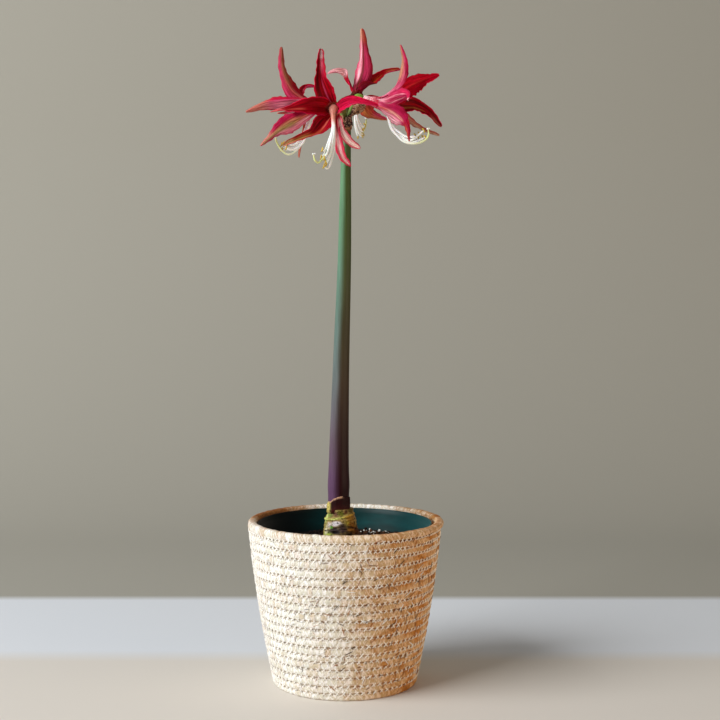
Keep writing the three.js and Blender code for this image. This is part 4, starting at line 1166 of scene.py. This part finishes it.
# Washes of colour on a tepal, laid on in order. Each has its face, colour and strength, the
# shares of the length where it starts, is full, fades and ends, and where it lies across: the
# middle and spread of a band, "all", "edges", or the "plus" or "minus" side of the midrib.
RIM = ("in", CRIMSON, 0.7, (0, 0.1, 1, 1), "edges")
BASE_OUT = ("out", BLUSH, 0.75, (0, 0.04, 0.12, 0.4), (0, 0.5))
LIME_FOOT = ("out", LIME, 0.85, (0, 0, 0.05, 0.16), (0, 0.8))
RIM_OUT = ("out", BRIGHT, 0.55, (0.1, 0.2, 0.9, 1), "edges")
PALE_FEET = ("ribbon", "cream", "flame", "velvet", "dart")  # paints with a long pale foot
PAINTS = {
    "velvet": (
        RIM, BASE_OUT, LIME_FOOT, RIM_OUT,
        ("in", PINK, 1.0, (0.02, 0.08, 0.36, 0.6), (0.04, 0.055)),
        ("in", srgb(170, 18, 60), 0.7, (0.4, 0.62, 1, 1), (0.45, 0.42)),
        # These two washes near the tip are a painted highlight.
        ("in", srgb(226, 110, 130), 0.9, (0.56, 0.76, 1, 1), (0.2, 0.3)),
        ("in", srgb(255, 236, 236), 1.2, (0.8, 0.88, 0.97, 1), (0.15, 0.36)),
    ),
    "dart": (
        RIM, BASE_OUT, LIME_FOOT, RIM_OUT,
        ("in", srgb(112, 0, 8), 0.75, (0.08, 0.2, 0.74, 0.88), (-0.3, 0.6)),
        ("in", SALMON, 0.4, (0, 0.03, 0.1, 0.2), (0, 0.2)),
        ("in", SALMON, 0.35, (0.45, 0.55, 0.7, 0.8), (-0.25, 0.15)),
        ("in", srgb(214, 108, 112), 0.85, (0.74, 0.9, 1, 1), "all"),
        ("out", SALMON, 0.7, (0.7, 0.88, 1, 1), "all"),
    ),
    "flame": (
        RIM, BASE_OUT, LIME_FOOT, RIM_OUT,
        ("in", CRIMSON, 0.5, (0.1, 0.25, 0.5, 0.6), "minus"),
        ("in", srgb(140, 4, 22), 0.9, (0.02, 0.1, 0.6, 0.76), (-0.8, 0.5)),
        ("in", SALMON, 1.0, (0, 0.02, 0.4, 0.5), (-0.3, 0.07)),
        ("in", srgb(150, 84, 44), 0.8, (0.38, 0.52, 0.72, 0.86), (-0.4, 0.25)),
        ("in", srgb(160, 128, 70), 0.95, (0.54, 0.72, 1, 1), (-0.2, 0.6)),
        ("in", srgb(186, 160, 108), 0.8, (0.8, 0.9, 1, 1), "all"),
        ("in", srgb(170, 40, 50), 0.7, (0.5, 0.6, 0.86, 0.98), "edges"),
        ("out", AMBER, 0.8, (0.4, 0.6, 1, 1), (0, 0.6)),
    ),
    "ribbon": (
        BASE_OUT, RIM_OUT,
        ("in", srgb(236, 34, 92), 0.95, (0, 0.05, 1, 1), "all"),
        ("in", srgb(238, 216, 212), 1.1, (0.2, 0.42, 0.95, 1), (-0.05, 0.45)),
        ("out", BLUSH, 0.7, (0.2, 0.4, 0.9, 1), (0, 0.4)),
    ),
    "cream": (
        BASE_OUT, RIM_OUT,
        ("in", srgb(236, 34, 92), 0.95, (0, 0.05, 1, 1), "all"),
        ("in", srgb(255, 248, 238), 1.3, (0.12, 0.28, 0.98, 1), (0, 0.6)),
        ("out", BLUSH, 0.7, (0.2, 0.4, 0.9, 1), (0, 0.4)),
    ),
    "bright": (
        BASE_OUT, RIM_OUT,
        ("in", BRIGHT, 0.85, (0.02, 0.12, 1, 1), "all"),
        ("in", PINK, 0.4, (0.3, 0.45, 1, 1), (0.5, 0.4)),
    ),
    "dusk": (
        RIM,
        ("out", srgb(150, 30, 54), 0.9, (0, 0.05, 1, 1), "all"),
        ("out", srgb(192, 60, 100), 0.8, (0.03, 0.16, 0.8, 0.98), (0.75, 0.45)),
        ("out", srgb(164, 92, 74), 0.75, (0.1, 0.28, 0.7, 0.9), (0.05, 0.26)),
        # Painted shade on the far half of the outer face.
        ("out", VELVET, 0.85, (0.1, 0.25, 0.6, 0.8), "minus"),
        ("out", srgb(130, 92, 58), 0.92, (0.42, 0.6, 1, 1), (-0.2, 0.42)),
        ("out", srgb(168, 110, 84), 0.4, (0.84, 0.95, 1, 1), (0.4, 0.6)),
    ),
    "streaked": (
        RIM, BASE_OUT,
        ("out", CRIMSON, 0.85, (0.1, 0.3, 0.72, 0.85), "minus"),
        ("out", BLUSH, 0.3, (0.2, 0.4, 0.72, 0.9), (0.3, 0.3)),
        ("out", BLUSH, 0.45, (0.14, 0.3, 0.72, 0.9), (0.72, 0.1)),
        ("out", srgb(196, 132, 104), 0.9, (0.6, 0.82, 1, 1), "all"),
        ("out", CRIMSON, 0.6, (0.3, 0.4, 0.8, 0.9), "edges"),
    ),
    "magenta": (
        RIM, RIM_OUT,
        ("out", BLUSH, 0.7, (0.2, 0.35, 0.7, 0.9), (-0.1, 0.3)),
        ("out", SALMON, 0.75, (0.72, 0.88, 1, 1), "all"),
        ("in", SALMON, 0.75, (0.72, 0.88, 1, 1), "all"),
    ),
    "halves": (
        RIM,
        ("out", srgb(160, 16, 58), 0.92, (0.02, 0.1, 0.84, 0.94), "minus"),
        ("out", srgb(240, 160, 182), 0.6, (0.08, 0.2, 0.6, 0.8), (0.6, 0.34)),
        ("out", BLUSH, 0.75, (0.1, 0.2, 0.6, 0.8), (0.34, 0.1)),
        ("out", SALMON, 0.95, (0.02, 0.08, 0.3, 0.5), (0, 0.13)),
        ("out", srgb(212, 164, 110), 0.95, (0.22, 0.36, 0.6, 0.75), (0, 0.17)),
        ("out", srgb(158, 156, 92), 0.95, (0.3, 0.48, 0.95, 1), (0.05, 0.26)),
        ("out", srgb(214, 170, 140), 0.8, (0.7, 0.88, 1, 1), (-0.6, 0.5)),
    ),
    "halves_up": (
        RIM,
        ("out", srgb(172, 22, 72), 0.9, (0.1, 0.3, 0.66, 0.75), "plus"),
        ("out", srgb(146, 8, 60), 0.8, (0.06, 0.18, 0.36, 0.56), (0.4, 0.24)),
        ("out", BLUSH, 0.85, (0.1, 0.22, 0.56, 0.66), (-0.6, 0.42)),
        ("out", SALMON, 0.95, (0.02, 0.08, 0.3, 0.5), (0, 0.12)),
        ("out", srgb(220, 170, 150), 0.95, (0.2, 0.34, 0.6, 0.7), (0, 0.1)),
        ("out", VELVET, 0.8, (0.62, 0.72, 1, 1), "all"),
        ("out", TIP_TAN, 0.5, (0.66, 0.8, 0.95, 1), (-0.3, 0.3)),
    ),
    "rose": (
        RIM,
        ("out", srgb(240, 160, 182), 1.0, (0, 0.01, 0.2, 0.5), (0.2, 0.7)),
        ("out", PINK, 0.6, (0.2, 0.34, 0.6, 0.9), (0, 0.5)),
        ("out", srgb(178, 144, 96), 1.15, (0.36, 0.52, 1, 1), (0.1, 0.34)),
        ("out", VELVET, 0.7, (0.3, 0.5, 1, 1), (-1, 0.35)),
    ),
    "velvet_rib": (
        BASE_OUT, RIM_OUT,
        ("in", srgb(226, 14, 52), 0.85, (0, 0.1, 1, 1), "all"),
        ("in", srgb(196, 70, 54), 0.4, (0.4, 0.6, 1, 1), (0, 0.12)),
        ("in", CRIMSON, 0.6, (0.7, 0.9, 1, 1), "all"),
        ("out", AMBER, 0.6, (0.4, 0.7, 1, 1), (0, 0.4)),
    ),
    "rolled": (
        BASE_OUT,
        ("in", CRIMSON, 0.8, (0.2, 0.4, 1, 1), "all"),
        ("out", srgb(178, 34, 76), 0.75, (0.12, 0.28, 1, 1), "all"),
        ("out", BLUSH, 0.6, (0.1, 0.25, 0.7, 0.85), (0.05, 0.06)),
        ("out", BLUSH, 0.45, (0.1, 0.25, 0.7, 0.85), (-0.5, 0.07)),
        ("out", BRIGHT, 0.5, (0.5, 0.7, 0.95, 1), (0.6, 0.3)),
        # A painted highlight on the rolled tip.
        ("out", BLUSH, 0.9, (0.95, 0.99, 1, 1), "all"),
    ),
    "olive_rib": (
        RIM, BASE_OUT, RIM_OUT,
        ("in", srgb(168, 116, 58), 0.9, (0.04, 0.15, 0.58, 0.74), (0.25, 0.15)),
        ("in", srgb(176, 96, 78), 0.95, (0.74, 0.88, 1, 1), (0.3, 0.6)),
        ("in", DEEP, 0.5, (0.5, 0.7, 1, 1), (-0.4, 0.5)),
    ),
    "amber": (
        RIM,
        ("out", srgb(186, 60, 34), 0.85, (0, 0.1, 0.5, 0.7), "all"),
        ("out", srgb(176, 112, 56), 0.9, (0.15, 0.4, 1, 1), (-0.2, 0.55)),
        ("out", srgb(170, 44, 40), 0.7, (0.2, 0.4, 0.9, 1), "edges"),
    ),
    "tan_in": (
        ("in", srgb(178, 96, 72), 0.9, (0, 0.1, 1, 1), "all"),
        ("in", srgb(206, 150, 120), 0.9, (0.5, 0.8, 1, 1), "all"),
        ("out", srgb(196, 120, 96), 0.9, (0.2, 0.5, 1, 1), "all"),
    ),
    "tan": (
        RIM,
        ("out", srgb(168, 92, 66), 0.9, (0, 0.1, 1, 1), "all"),
        ("out", srgb(184, 152, 122), 0.95, (0.3, 0.5, 1, 1), (-0.1, 0.6)),
        ("out", srgb(178, 40, 60), 0.6, (0.2, 0.4, 0.8, 1), "edges"),
    ),
    "amber_rib": (
        RIM,
        ("out", srgb(132, 8, 20), 0.9, (0, 0.01, 0.6, 0.8), "all"),
        ("in", srgb(170, 66, 26), 0.8, (0.05, 0.25, 0.6, 0.75), (0.15, 0.34)),
        ("in", srgb(194, 142, 78), 0.9, (0.7, 0.86, 1, 1), (0.3, 0.7)),
    ),
    "two_tone": (
        RIM,
        ("out", srgb(204, 60, 104), 0.75, (0.12, 0.34, 0.8, 1), "all"),
        # This dark base is painted shade.
        ("out", DEEP, 0.95, (0, 0.01, 0.16, 0.36), "all"),
        ("out", BLUSH, 0.95, (0.16, 0.36, 0.75, 0.96), (0.38, 0.26)),
        ("out", srgb(96, 40, 18), 1.2, (0.02, 0.1, 0.7, 0.9), (0, 0.09)),
        ("out", srgb(206, 62, 108), 0.8, (0.14, 0.3, 0.8, 0.96), (-0.45, 0.26)),
        # This dark strip along the far edge is partly the tepal's own dark red and partly painted shade.
        ("out", srgb(132, 4, 22), 1.0, (0.12, 0.3, 0.9, 1), (-0.85, 0.22)),
        ("out", srgb(214, 190, 150), 0.9, (0.76, 0.92, 1, 1), (0.4, 0.6)),
        ("out", srgb(166, 70, 22), 0.85, (0.7, 0.85, 1, 1), (-0.4, 0.4)),
    ),
    "blush_tip": (
        ("in", CRIMSON, 0.8, (0, 0.1, 0.5, 0.6), "all"),
        ("in", srgb(255, 214, 220), 1.0, (0.48, 0.58, 1, 1), "all"),
        ("out", VELVET, 0.9, (0, 0.02, 0.5, 0.6), "all"),
        ("out", srgb(250, 188, 204), 1.0, (0.48, 0.58, 1, 1), "all"),
        ("out", BRIGHT, 0.9, (0.1, 0.3, 1, 1), "edges"),
    ),
}


def facing(bloom):
    return unit(np.array(bloom["faces"], float))


def turn_towards(run, normal, look):
    """The turn about run that brings normal to look."""
    side = np.cross(run, normal)
    return math.atan2(np.dot(look, side), np.dot(look, normal))


def tepal_frames(points, outward, middle_look, tip_look):
    """Places along a tepal's midrib, with its inner face's look and its side at each."""
    share = np.linspace(0, 1, TEPAL_ROWS + 1)
    places = even_spline(points, share)
    runs, carried, _ = carried_frames(places, -outward)
    half = round(TEPAL_MIDDLE * TEPAL_ROWS)
    middle_turn = turn_towards(runs[half], carried[half], np.array(middle_look, float))
    tip_turn = turn_towards(runs[-1], carried[-1], np.array(tip_look, float))
    onward = math.atan2(math.sin(tip_turn - middle_turn), math.cos(tip_turn - middle_turn))
    to_middle = smoothstep(share, 0, TEPAL_MIDDLE)
    to_tip = smoothstep(share, TEPAL_MIDDLE, 1)
    turn = (middle_turn * to_middle + onward * to_tip)[:, None]
    look = carried * np.cos(turn) + np.cross(runs, carried) * np.sin(turn)
    return share, places, look, np.cross(runs, look)


def tepal_skin(share, places, look, side, width, outline, phase, wavy):
    """Front and back points of a tepal, row by row."""
    half = np.maximum(0.5, width / 2 * smooth_table(OUTLINES[outline], share))[:, None]
    across = np.linspace(-1, 1, 2 * TEPAL_HALVES + 1)[None]
    out = np.abs(across)
    hand = np.sign(across)
    row = share[:, None]
    body = np.sin(np.pi * row)
    nick = grain(np.stack(np.broadcast_arrays(row * 30, hand * 5, phase), -1), 1)
    fold = math.radians(TEPAL["fold"])
    curl = np.radians(TEPAL["curl"] + (TEPAL["curl_tip"] - TEPAL["curl"]) * share**2)[:, None]
    curl = np.minimum(curl, half / TEPAL["thickness"])
    angle = fold + curl * out
    reach = half * (1 + (0.1 if outline in ("late", "broad") else 0.04) * wavy * nick * out**3)
    sideways = reach * (np.sin(angle) - math.sin(fold)) / curl
    up = half * (math.cos(fold) - np.cos(angle)) / curl
    ripple = TEPAL["ripple"] * out**2 * np.sin(TURN * TEPAL["waves"] * row + phase + hand) * body
    ripple = ripple + 0.4 * wavy * out**4 * np.sin(TURN * 8.3 * row + 2.1 * phase + 2 * hand) * body
    ripple = ripple + 0.07 * np.cos(across * 26 + phase) * (1 - out) * body
    lean_share = np.where(hand == 0, 1, np.cos(angle))
    normal = look[:, None] * lean_share[..., None] - side[:, None] * (hand * np.sin(angle))[..., None]
    middle = places[:, None] + side[:, None] * (hand * sideways)[..., None]
    middle = middle + look[:, None] * up[..., None] + normal * ripple[..., None]
    rib = hump(across, 0, 0.13) * (1 - 0.6 * row)
    groove = hump(across, 0, 0.1) * (1 - 0.5 * row)
    thick = TEPAL["thickness"] * (0.5 - 0.2 * out**2) * np.ones_like(row)
    front = middle + normal * (thick - 0.22 * groove)[..., None]
    back = middle - normal * (thick + 0.4 * rib * np.minimum(1, half / 3))[..., None]
    return front, back, across, row


def wash_share(wash, across, row):
    """How much of a wash's colour lies at each place of a face."""
    start, full, fade, end = wash[3]
    along = smoothstep(row, start, max(full, start + 1e-6)) if full > 0 else np.ones_like(row)
    if end < 1 or fade < 1:
        along = along * (1 - smoothstep(row, fade, max(end, fade + 1e-6)))
    where = wash[4]
    if where == "all":
        over = np.ones_like(across)
    elif where == "edges":
        over = smoothstep(np.abs(across), 0.68, 1)
    elif where in ("plus", "minus"):
        over = smoothstep(across if where == "plus" else -across, 0.02, 0.3)
    else:
        over = hump(across, *where)
    return wash[2] * along * over


def tepal_tints(paint, across, row, seed):
    """Colours of the inner and the outer face."""
    across, row = np.broadcast_arrays(across, row)
    place = np.stack([across * 4 + seed * 7.7, row * 5, np.full(row.shape, float(seed))], -1)
    cloud = 0.5 + 0.5 * grain(place, 1)
    streak = 0.5 + 0.5 * grain(place * (2.2, 0.4, 1) + 9, 1)
    fine = 0.5 + 0.5 * grain(place * (4.5, 0.8, 1) + 5, 1)
    inner = blend(DEEP, VELVET, smoothstep(0.4 * cloud + 0.6 * streak, 0.2, 0.75))
    inner = blend(inner, CRIMSON, 0.35 * smoothstep(fine, 0.55, 0.95))
    outer = blend(MAGENTA, PINK, 0.55 * smoothstep(0.35 * cloud + 0.65 * streak, 0.3, 0.8))
    outer = blend(outer, BLUSH, 0.35 * smoothstep(fine, 0.6, 0.95) * (1 - smoothstep(row, 0.5, 0.9)))
    for wash in PAINTS[paint]:
        share = wash_share(wash, across, row) * (0.88 + 0.5 * (fine - 0.5))
        if wash[0] == "in":
            inner = blend(inner, wash[1], np.clip(share, 0, 1))
        else:
            outer = blend(outer, wash[1], np.clip(share, 0, 1))
    foot = 1 - smoothstep(row, 0.03, 0.15 if paint in PALE_FEET else 0.07)
    return blend(inner, FLESH, 0.9 * foot), outer


def add_tepal(shape, bloom, form, seed):
    first, second, third, tip, width, middle_look, tip_look, outline, paint = form
    axis = facing(bloom)
    outward = np.array(first, float) + 0.5 * np.array(second, float)
    outward = unit(outward - axis * outward.dot(axis))
    root = outward * TEPAL_ROOT - axis * TEPAL_SUNK
    points = np.array([root, first, second, third, tip], float) + np.array(bloom["throat"], float)
    chance = random.Random(seed)
    phase = TURN * chance.random()
    wavy = chance.uniform(0.6, 1.4)
    frames = tepal_frames(points, outward, middle_look, tip_look)
    front, back, across, row = tepal_skin(*frames, width, outline, phase, wavy)
    inner, outer = tepal_tints(paint, across, row, seed)
    coords = np.stack(np.broadcast_arrays(across * width, row * 80 + seed * 13.7, 0.0), -1)
    shape.sweep(wrapped(front, back), wrapped(inner, outer), wrapped(coords, coords))


def petal_paint():
    paint = Paint("petal", 0.5, 0.05)
    coords = paint.attribute("coords")
    tint = paint.tint()
    veins = paint.stretched(coords, (0.85, 0.045, 1))
    cells = paint.noise(coords, 2.4, 2)
    dark = paint.mix(0.66, tint, srgb(182, 68, 82), "MULTIPLY")
    pale = paint.mix(1.0, tint, (1.26, 1.2, 1.2), "MULTIPLY")
    paint.colour(paint.mix(paint.step(veins, 0.42, 0.6), pale, dark))
    height = paint.math("ADD", veins, paint.times(cells, 0.2))
    paint.bump(height, 0.35, 0.6)
    paint.set(Subsurface_Weight=0.06, Subsurface_Scale=0.002)
    return paint


def add_tube(shape, bloom):
    """The short funnel under the tepals, with a blind throat."""
    axis = facing(bloom)
    foot = np.array(bloom["throat"], float) - axis * TUBE_LENGTH
    angle = circle(36)
    out = spokes(axis, angle)
    below = bloom.get("tube", bloom.get("stem", srgb(150, 190, 84)))
    above = bloom.get("cup", srgb(206, 60, 84))
    lobes = 1 + 0.05 * np.cos(6 * angle)
    rings = []
    tints = []
    for index, (along, radius, share) in enumerate(TUBE_SECTION):
        rings.append(foot + axis * along + out * (radius * lobes)[:, None])
        colour = srgb(240, 176, 146) if index >= TUBE_INSIDE else blend(below, above, share)
        tints.append(np.broadcast_to(colour, (len(angle), 3)))
    shape.sweep(rings, np.array(tints), np.array(rings))


# ---------------------------------------------------------------- stamens
STAMEN = {"foot": 2.7, "radius": 1.15, "bundle": 1.5, "knots": 40, "straight": 5}
WHITE = srgb(255, 255, 255)
STYLE = srgb(214, 220, 150)
GOLD = srgb(190, 156, 50)


def add_stamens(name, bloom):
    axis = facing(bloom)
    throat = np.array(bloom["throat"], float)
    shape = Shape()
    foot = [throat + axis * along for along in (0.6 - THROAT_DEPTH, -4, -1, 1.5, 3.5, 5)]
    foot.append(foot[-1] + (throat + np.array(bloom["filaments"][0][0], float) - foot[-1]) * 0.2)
    shape.rod(foot, [STAMEN["foot"], 2.8, 3.3, 4.2, 4.5, 3.8, 2.4], 18, FLESH)
    side = unit(np.cross(axis, (0, 0, 1)))
    other = np.cross(axis, side)
    chance = random.Random(name)
    last = len(bloom["filaments"]) - 1
    share = np.linspace(0, 1, STAMEN["knots"])
    for index, filament in enumerate(bloom["filaments"]):
        is_style = index == last
        angle = index / last * TURN + 0.5
        out = (side * math.cos(angle) + other * math.sin(angle)) * (0 if is_style else STAMEN["bundle"])
        line = [throat + out - axis * 1.0, throat + out + axis * STAMEN["straight"]]
        line += [throat + np.array(point, float) for point in filament]
        places = even_spline(line, share)
        runs = unit(np.gradient(places, axis=0))
        radii = STAMEN["radius"] * (1.12 - 0.32 * share)
        radii[-3:] *= (0.95, 0.8, 0.6)
        tint = blend(WHITE, STYLE, smoothstep(share, 0.45, 0.95) * (1.0 if is_style else 0.12))
        tint = blend(tint, FLESH, 1 - smoothstep(share, *((0.3, 0.48) if name == "front" else (0.06, 0.18))))
        shape.rod(places, radii, 8, tint)
        if is_style:
            add_stigma(shape, places[-1], runs[-1])
        else:
            add_anther(shape, places[-1], runs[-1], chance)
    paint = Paint("filament", 0.42, 0.4)
    dust = paint.noise(paint.attribute("coords"), 3.0, 2)
    shade = paint.mix(0.03, paint.tint(), srgb(120, 90, 40))
    paint.colour(paint.mix(paint.step(dust, 0.5, 0.75), paint.tint(), shade))
    paint.set(Subsurface_Weight=0.1, Subsurface_Scale=0.002)
    shape.piece(f"stamens_{name}_fine", paint, [f"stamens_{name}"])


def add_anther(shape, end, run, chance):
    """A curved golden anther, hung across the filament's end."""
    upright = np.array([chance.uniform(-0.35, 0.35), chance.uniform(-0.3, 0.3), 1])
    side = unit(upright - 0.35 * run)
    bend = unit(np.cross(side, (chance.uniform(-1, 1), 1, 0)))
    share = np.linspace(-1, 1, 9)
    places = end + side * (share * 2.4)[:, None] + bend * (0.7 * share**2 - 0.25)[:, None]
    radii = 0.8 * np.sqrt(np.clip(1.12 - share**2, 0.05, 1))
    gold = blend(GOLD, srgb(226, 196, 84), np.clip(0.5 + 0.5 * share, 0, 1) * chance.uniform(0.3, 1))
    shape.rod(places, radii, 8, gold, start=bend)


def add_stigma(shape, end, run):
    """Three short white lobes at the style's end."""
    side = unit(np.cross(run, (0.3, 0.2, 1)))
    other = np.cross(run, side)
    for k in range(3):
        angle = k / 3 * TURN + 0.4
        out = side * math.cos(angle) + other * math.sin(angle)
        places = [end - run * 0.2, end + out * 0.8 + run * 0.4, end + out * 1.5 + run * 0.6]
        shape.rod(places, [0.6, 0.7, 0.55], 8, WHITE)


# ---------------------------------------------------------------- the dried bracts
COLLAR = {"low": 536, "high": 540.2, "radius": 4.7}
# Each bract: points up its middle, its look, half its width and its colour along it.
BRACTS = (
    (
        ((4, -5.5, 538), (3.6, -7.6, 543), (6.4, -8.4, 548.5), (11.5, -9.6, 553), (16, -9, 556.5),
         (20, -7, 560)), (0.4, -2, -0.3),
        ((0, 4.6), (0.14, 4.7), (0.26, 3.2), (0.38, 1.6), (0.5, 3), (0.68, 5), (0.86, 4.6), (1, 1.8)),
        (srgb(46, 18, 14), srgb(60, 34, 20), srgb(150, 104, 68)),
    ),
    (
        ((-1, -6.4, 537.5), (-2, -7.6, 541), (-2.6, -8, 545), (-2.2, -8, 549)), (-0.3, -1, 0),
        ((0, 2.4), (0.4, 2.6), (0.8, 1.6), (1, 0.5)),
        (srgb(50, 22, 16), srgb(96, 60, 34), srgb(168, 130, 84)),
    ),
)


def add_bract(shape, order, line, look, widths, colours):
    share = np.linspace(0, 1, 61)
    places = even_spline(line, share)
    runs = unit(np.gradient(places, axis=0))
    look = np.array(look, float)
    normal = unit(look - runs * (runs @ look)[:, None])
    side = np.cross(runs, normal)
    across = np.linspace(-1, 1, 33)[None]
    half = smooth_table(widths, share)[:, None]
    roll = np.radians(40 + 55 * smoothstep(share, 0.35, 0.6))[:, None]
    sideways = half * np.sin(roll * across) / np.sin(roll)
    back_off = half * (1 - np.cos(roll * across)) / np.sin(roll)
    middle = places[:, None] + side[:, None] * sideways[..., None]
    grow = np.minimum(1, 0.25 + 2.2 * share)[:, None] * np.minimum(1, half / 2.5)
    crease = 1.5 * layered(middle + 40 * order, 4.2) + 0.5 * np.sin(across * 9 + 5 * share[:, None])
    middle = middle + normal[:, None] * (crease * grow - back_off)[..., None]
    middle = middle + side[:, None] * (0.7 * grow * grain(middle + 90, 2.6))[..., None]
    half_wall = normal[:, None] * 0.35
    rings = wrapped(middle + half_wall, middle - half_wall)
    low, high, top = colours
    tint = blend(low, high, smoothstep(share, 0.1, 0.4))[:, None]
    tint = blend(tint, top, smoothstep(share, 0.42, 0.56)[:, None])
    # Painted shade in the hollows of the creases.
    shade = wrapped(crease, crease)
    tint = blend(tint, srgb(64, 30, 22), 0.9 * smoothstep(-shade, -0.2, 0.5))
    tint = blend(tint, srgb(206, 164, 136), 0.75 * smoothstep(grain(rings, 1.7), 0.1, 0.6))
    # Crimson mottling: painted red light reflected from the petals.
    tint = blend(tint, srgb(120, 30, 40), 0.6 * smoothstep(grain(rings + 30, 3), 0.4, 0.8))
    shape.sweep(rings, tint, rings)


def add_collar(shape):
    """The ragged ring that the bracts grow from."""
    turn = circle(72)
    ragged = around(8, turn, 0.0)
    high = COLLAR["high"] - 1.2 + 1.1 * grain(ragged, 3)
    rows = []
    for share, out in ((0, 0.15), (0.4, 0.8), (0.8, 0.75), (1, 0.6), (1, 0.25), (0.5, 0.12), (0, 0.05)):
        radius = COLLAR["radius"] + out
        height = COLLAR["low"] + (high - COLLAR["low"]) * share
        rows.append(around(radius, turn, height) + (float(lean(COLLAR["low"])), 0, 0))
    shape.sweep(rows, srgb(156, 100, 64), rows, joined=True)


def add_bracts():
    paint = Paint("dry bract", 0.75, 0.3)
    place = paint.attribute("coords")
    veins = paint.stretched(place, (1.4, 1.4, 0.5), 4, 0.65)
    tint = paint.tint()
    dark = paint.mix(1.0, tint, (0.3, 0.22, 0.2), "MULTIPLY")
    colour = paint.mix(paint.step(veins, 0.38, 0.58), dark, tint)
    flakes = paint.stretched(place, (1.0, 1.0, 0.8))
    share = paint.times(paint.step(flakes, 0.54, 0.62), 0.75)
    paint.colour(paint.mix(share, colour, srgb(204, 166, 132)))
    paint.bump(veins, 0.6, 0.8)
    shape = Shape()
    for order, bract in enumerate(BRACTS):
        add_bract(shape, order, *bract)
    add_collar(shape)
    shape.piece("dry_spathe", paint, ["spathe"])


# ---------------------------------------------------------------- the whole
FLOOR_REACH = 3500


def add_floor():
    """A pale floor that sweeps up into a plain, darker backdrop."""
    paint = Paint("floor", 0.85, 0.15)
    paint.colour(paint.tint())
    profile = [(-2500, 0), (60, 0), (100, 0), (325, 0), (350, 0), (700, 0)]
    profile += [(700 + 900 * math.sin(a), 900 * (1 - math.cos(a))) for a in np.linspace(0.08, 1.4, 20)]
    profile.append((1650, 3200))
    near, middle, far = srgb(218, 212, 204), srgb(222, 226, 232), srgb(165, 162, 152)
    tints = [near, near, middle, middle] + [far] * (len(profile) - 4)
    points = [(x, y, z) for y, z in profile for x in (-FLOOR_REACH, FLOOR_REACH)]
    faces = [(2 * k, 2 * k + 1, 2 * k + 3, 2 * k + 2) for k in range(len(profile) - 1)]
    mesh = make_mesh("floor", np.array(points), faces, np.repeat(np.array(tints), 2, axis=0), paint)
    floor = put_in_scene("floor", mesh)


add_camera()
add_lights()
add_floor()
add_basket()
add_pot()
add_soil()
add_bulb()
add_scape()
add_bracts()
petal = petal_paint()
for order, (bloom_name, bloom_form) in enumerate(BLOOMS.items()):
    flower = Shape()
    add_tube(flower, bloom_form)
    for place, tepal_form in enumerate(bloom_form["tepals"]):
        add_tepal(flower, bloom_form, tepal_form, 10 * order + place)
    flower.piece(f"flower_{bloom_name}", petal, [f"bloom_{bloom_name}"])
    add_stamens(bloom_name, bloom_form)
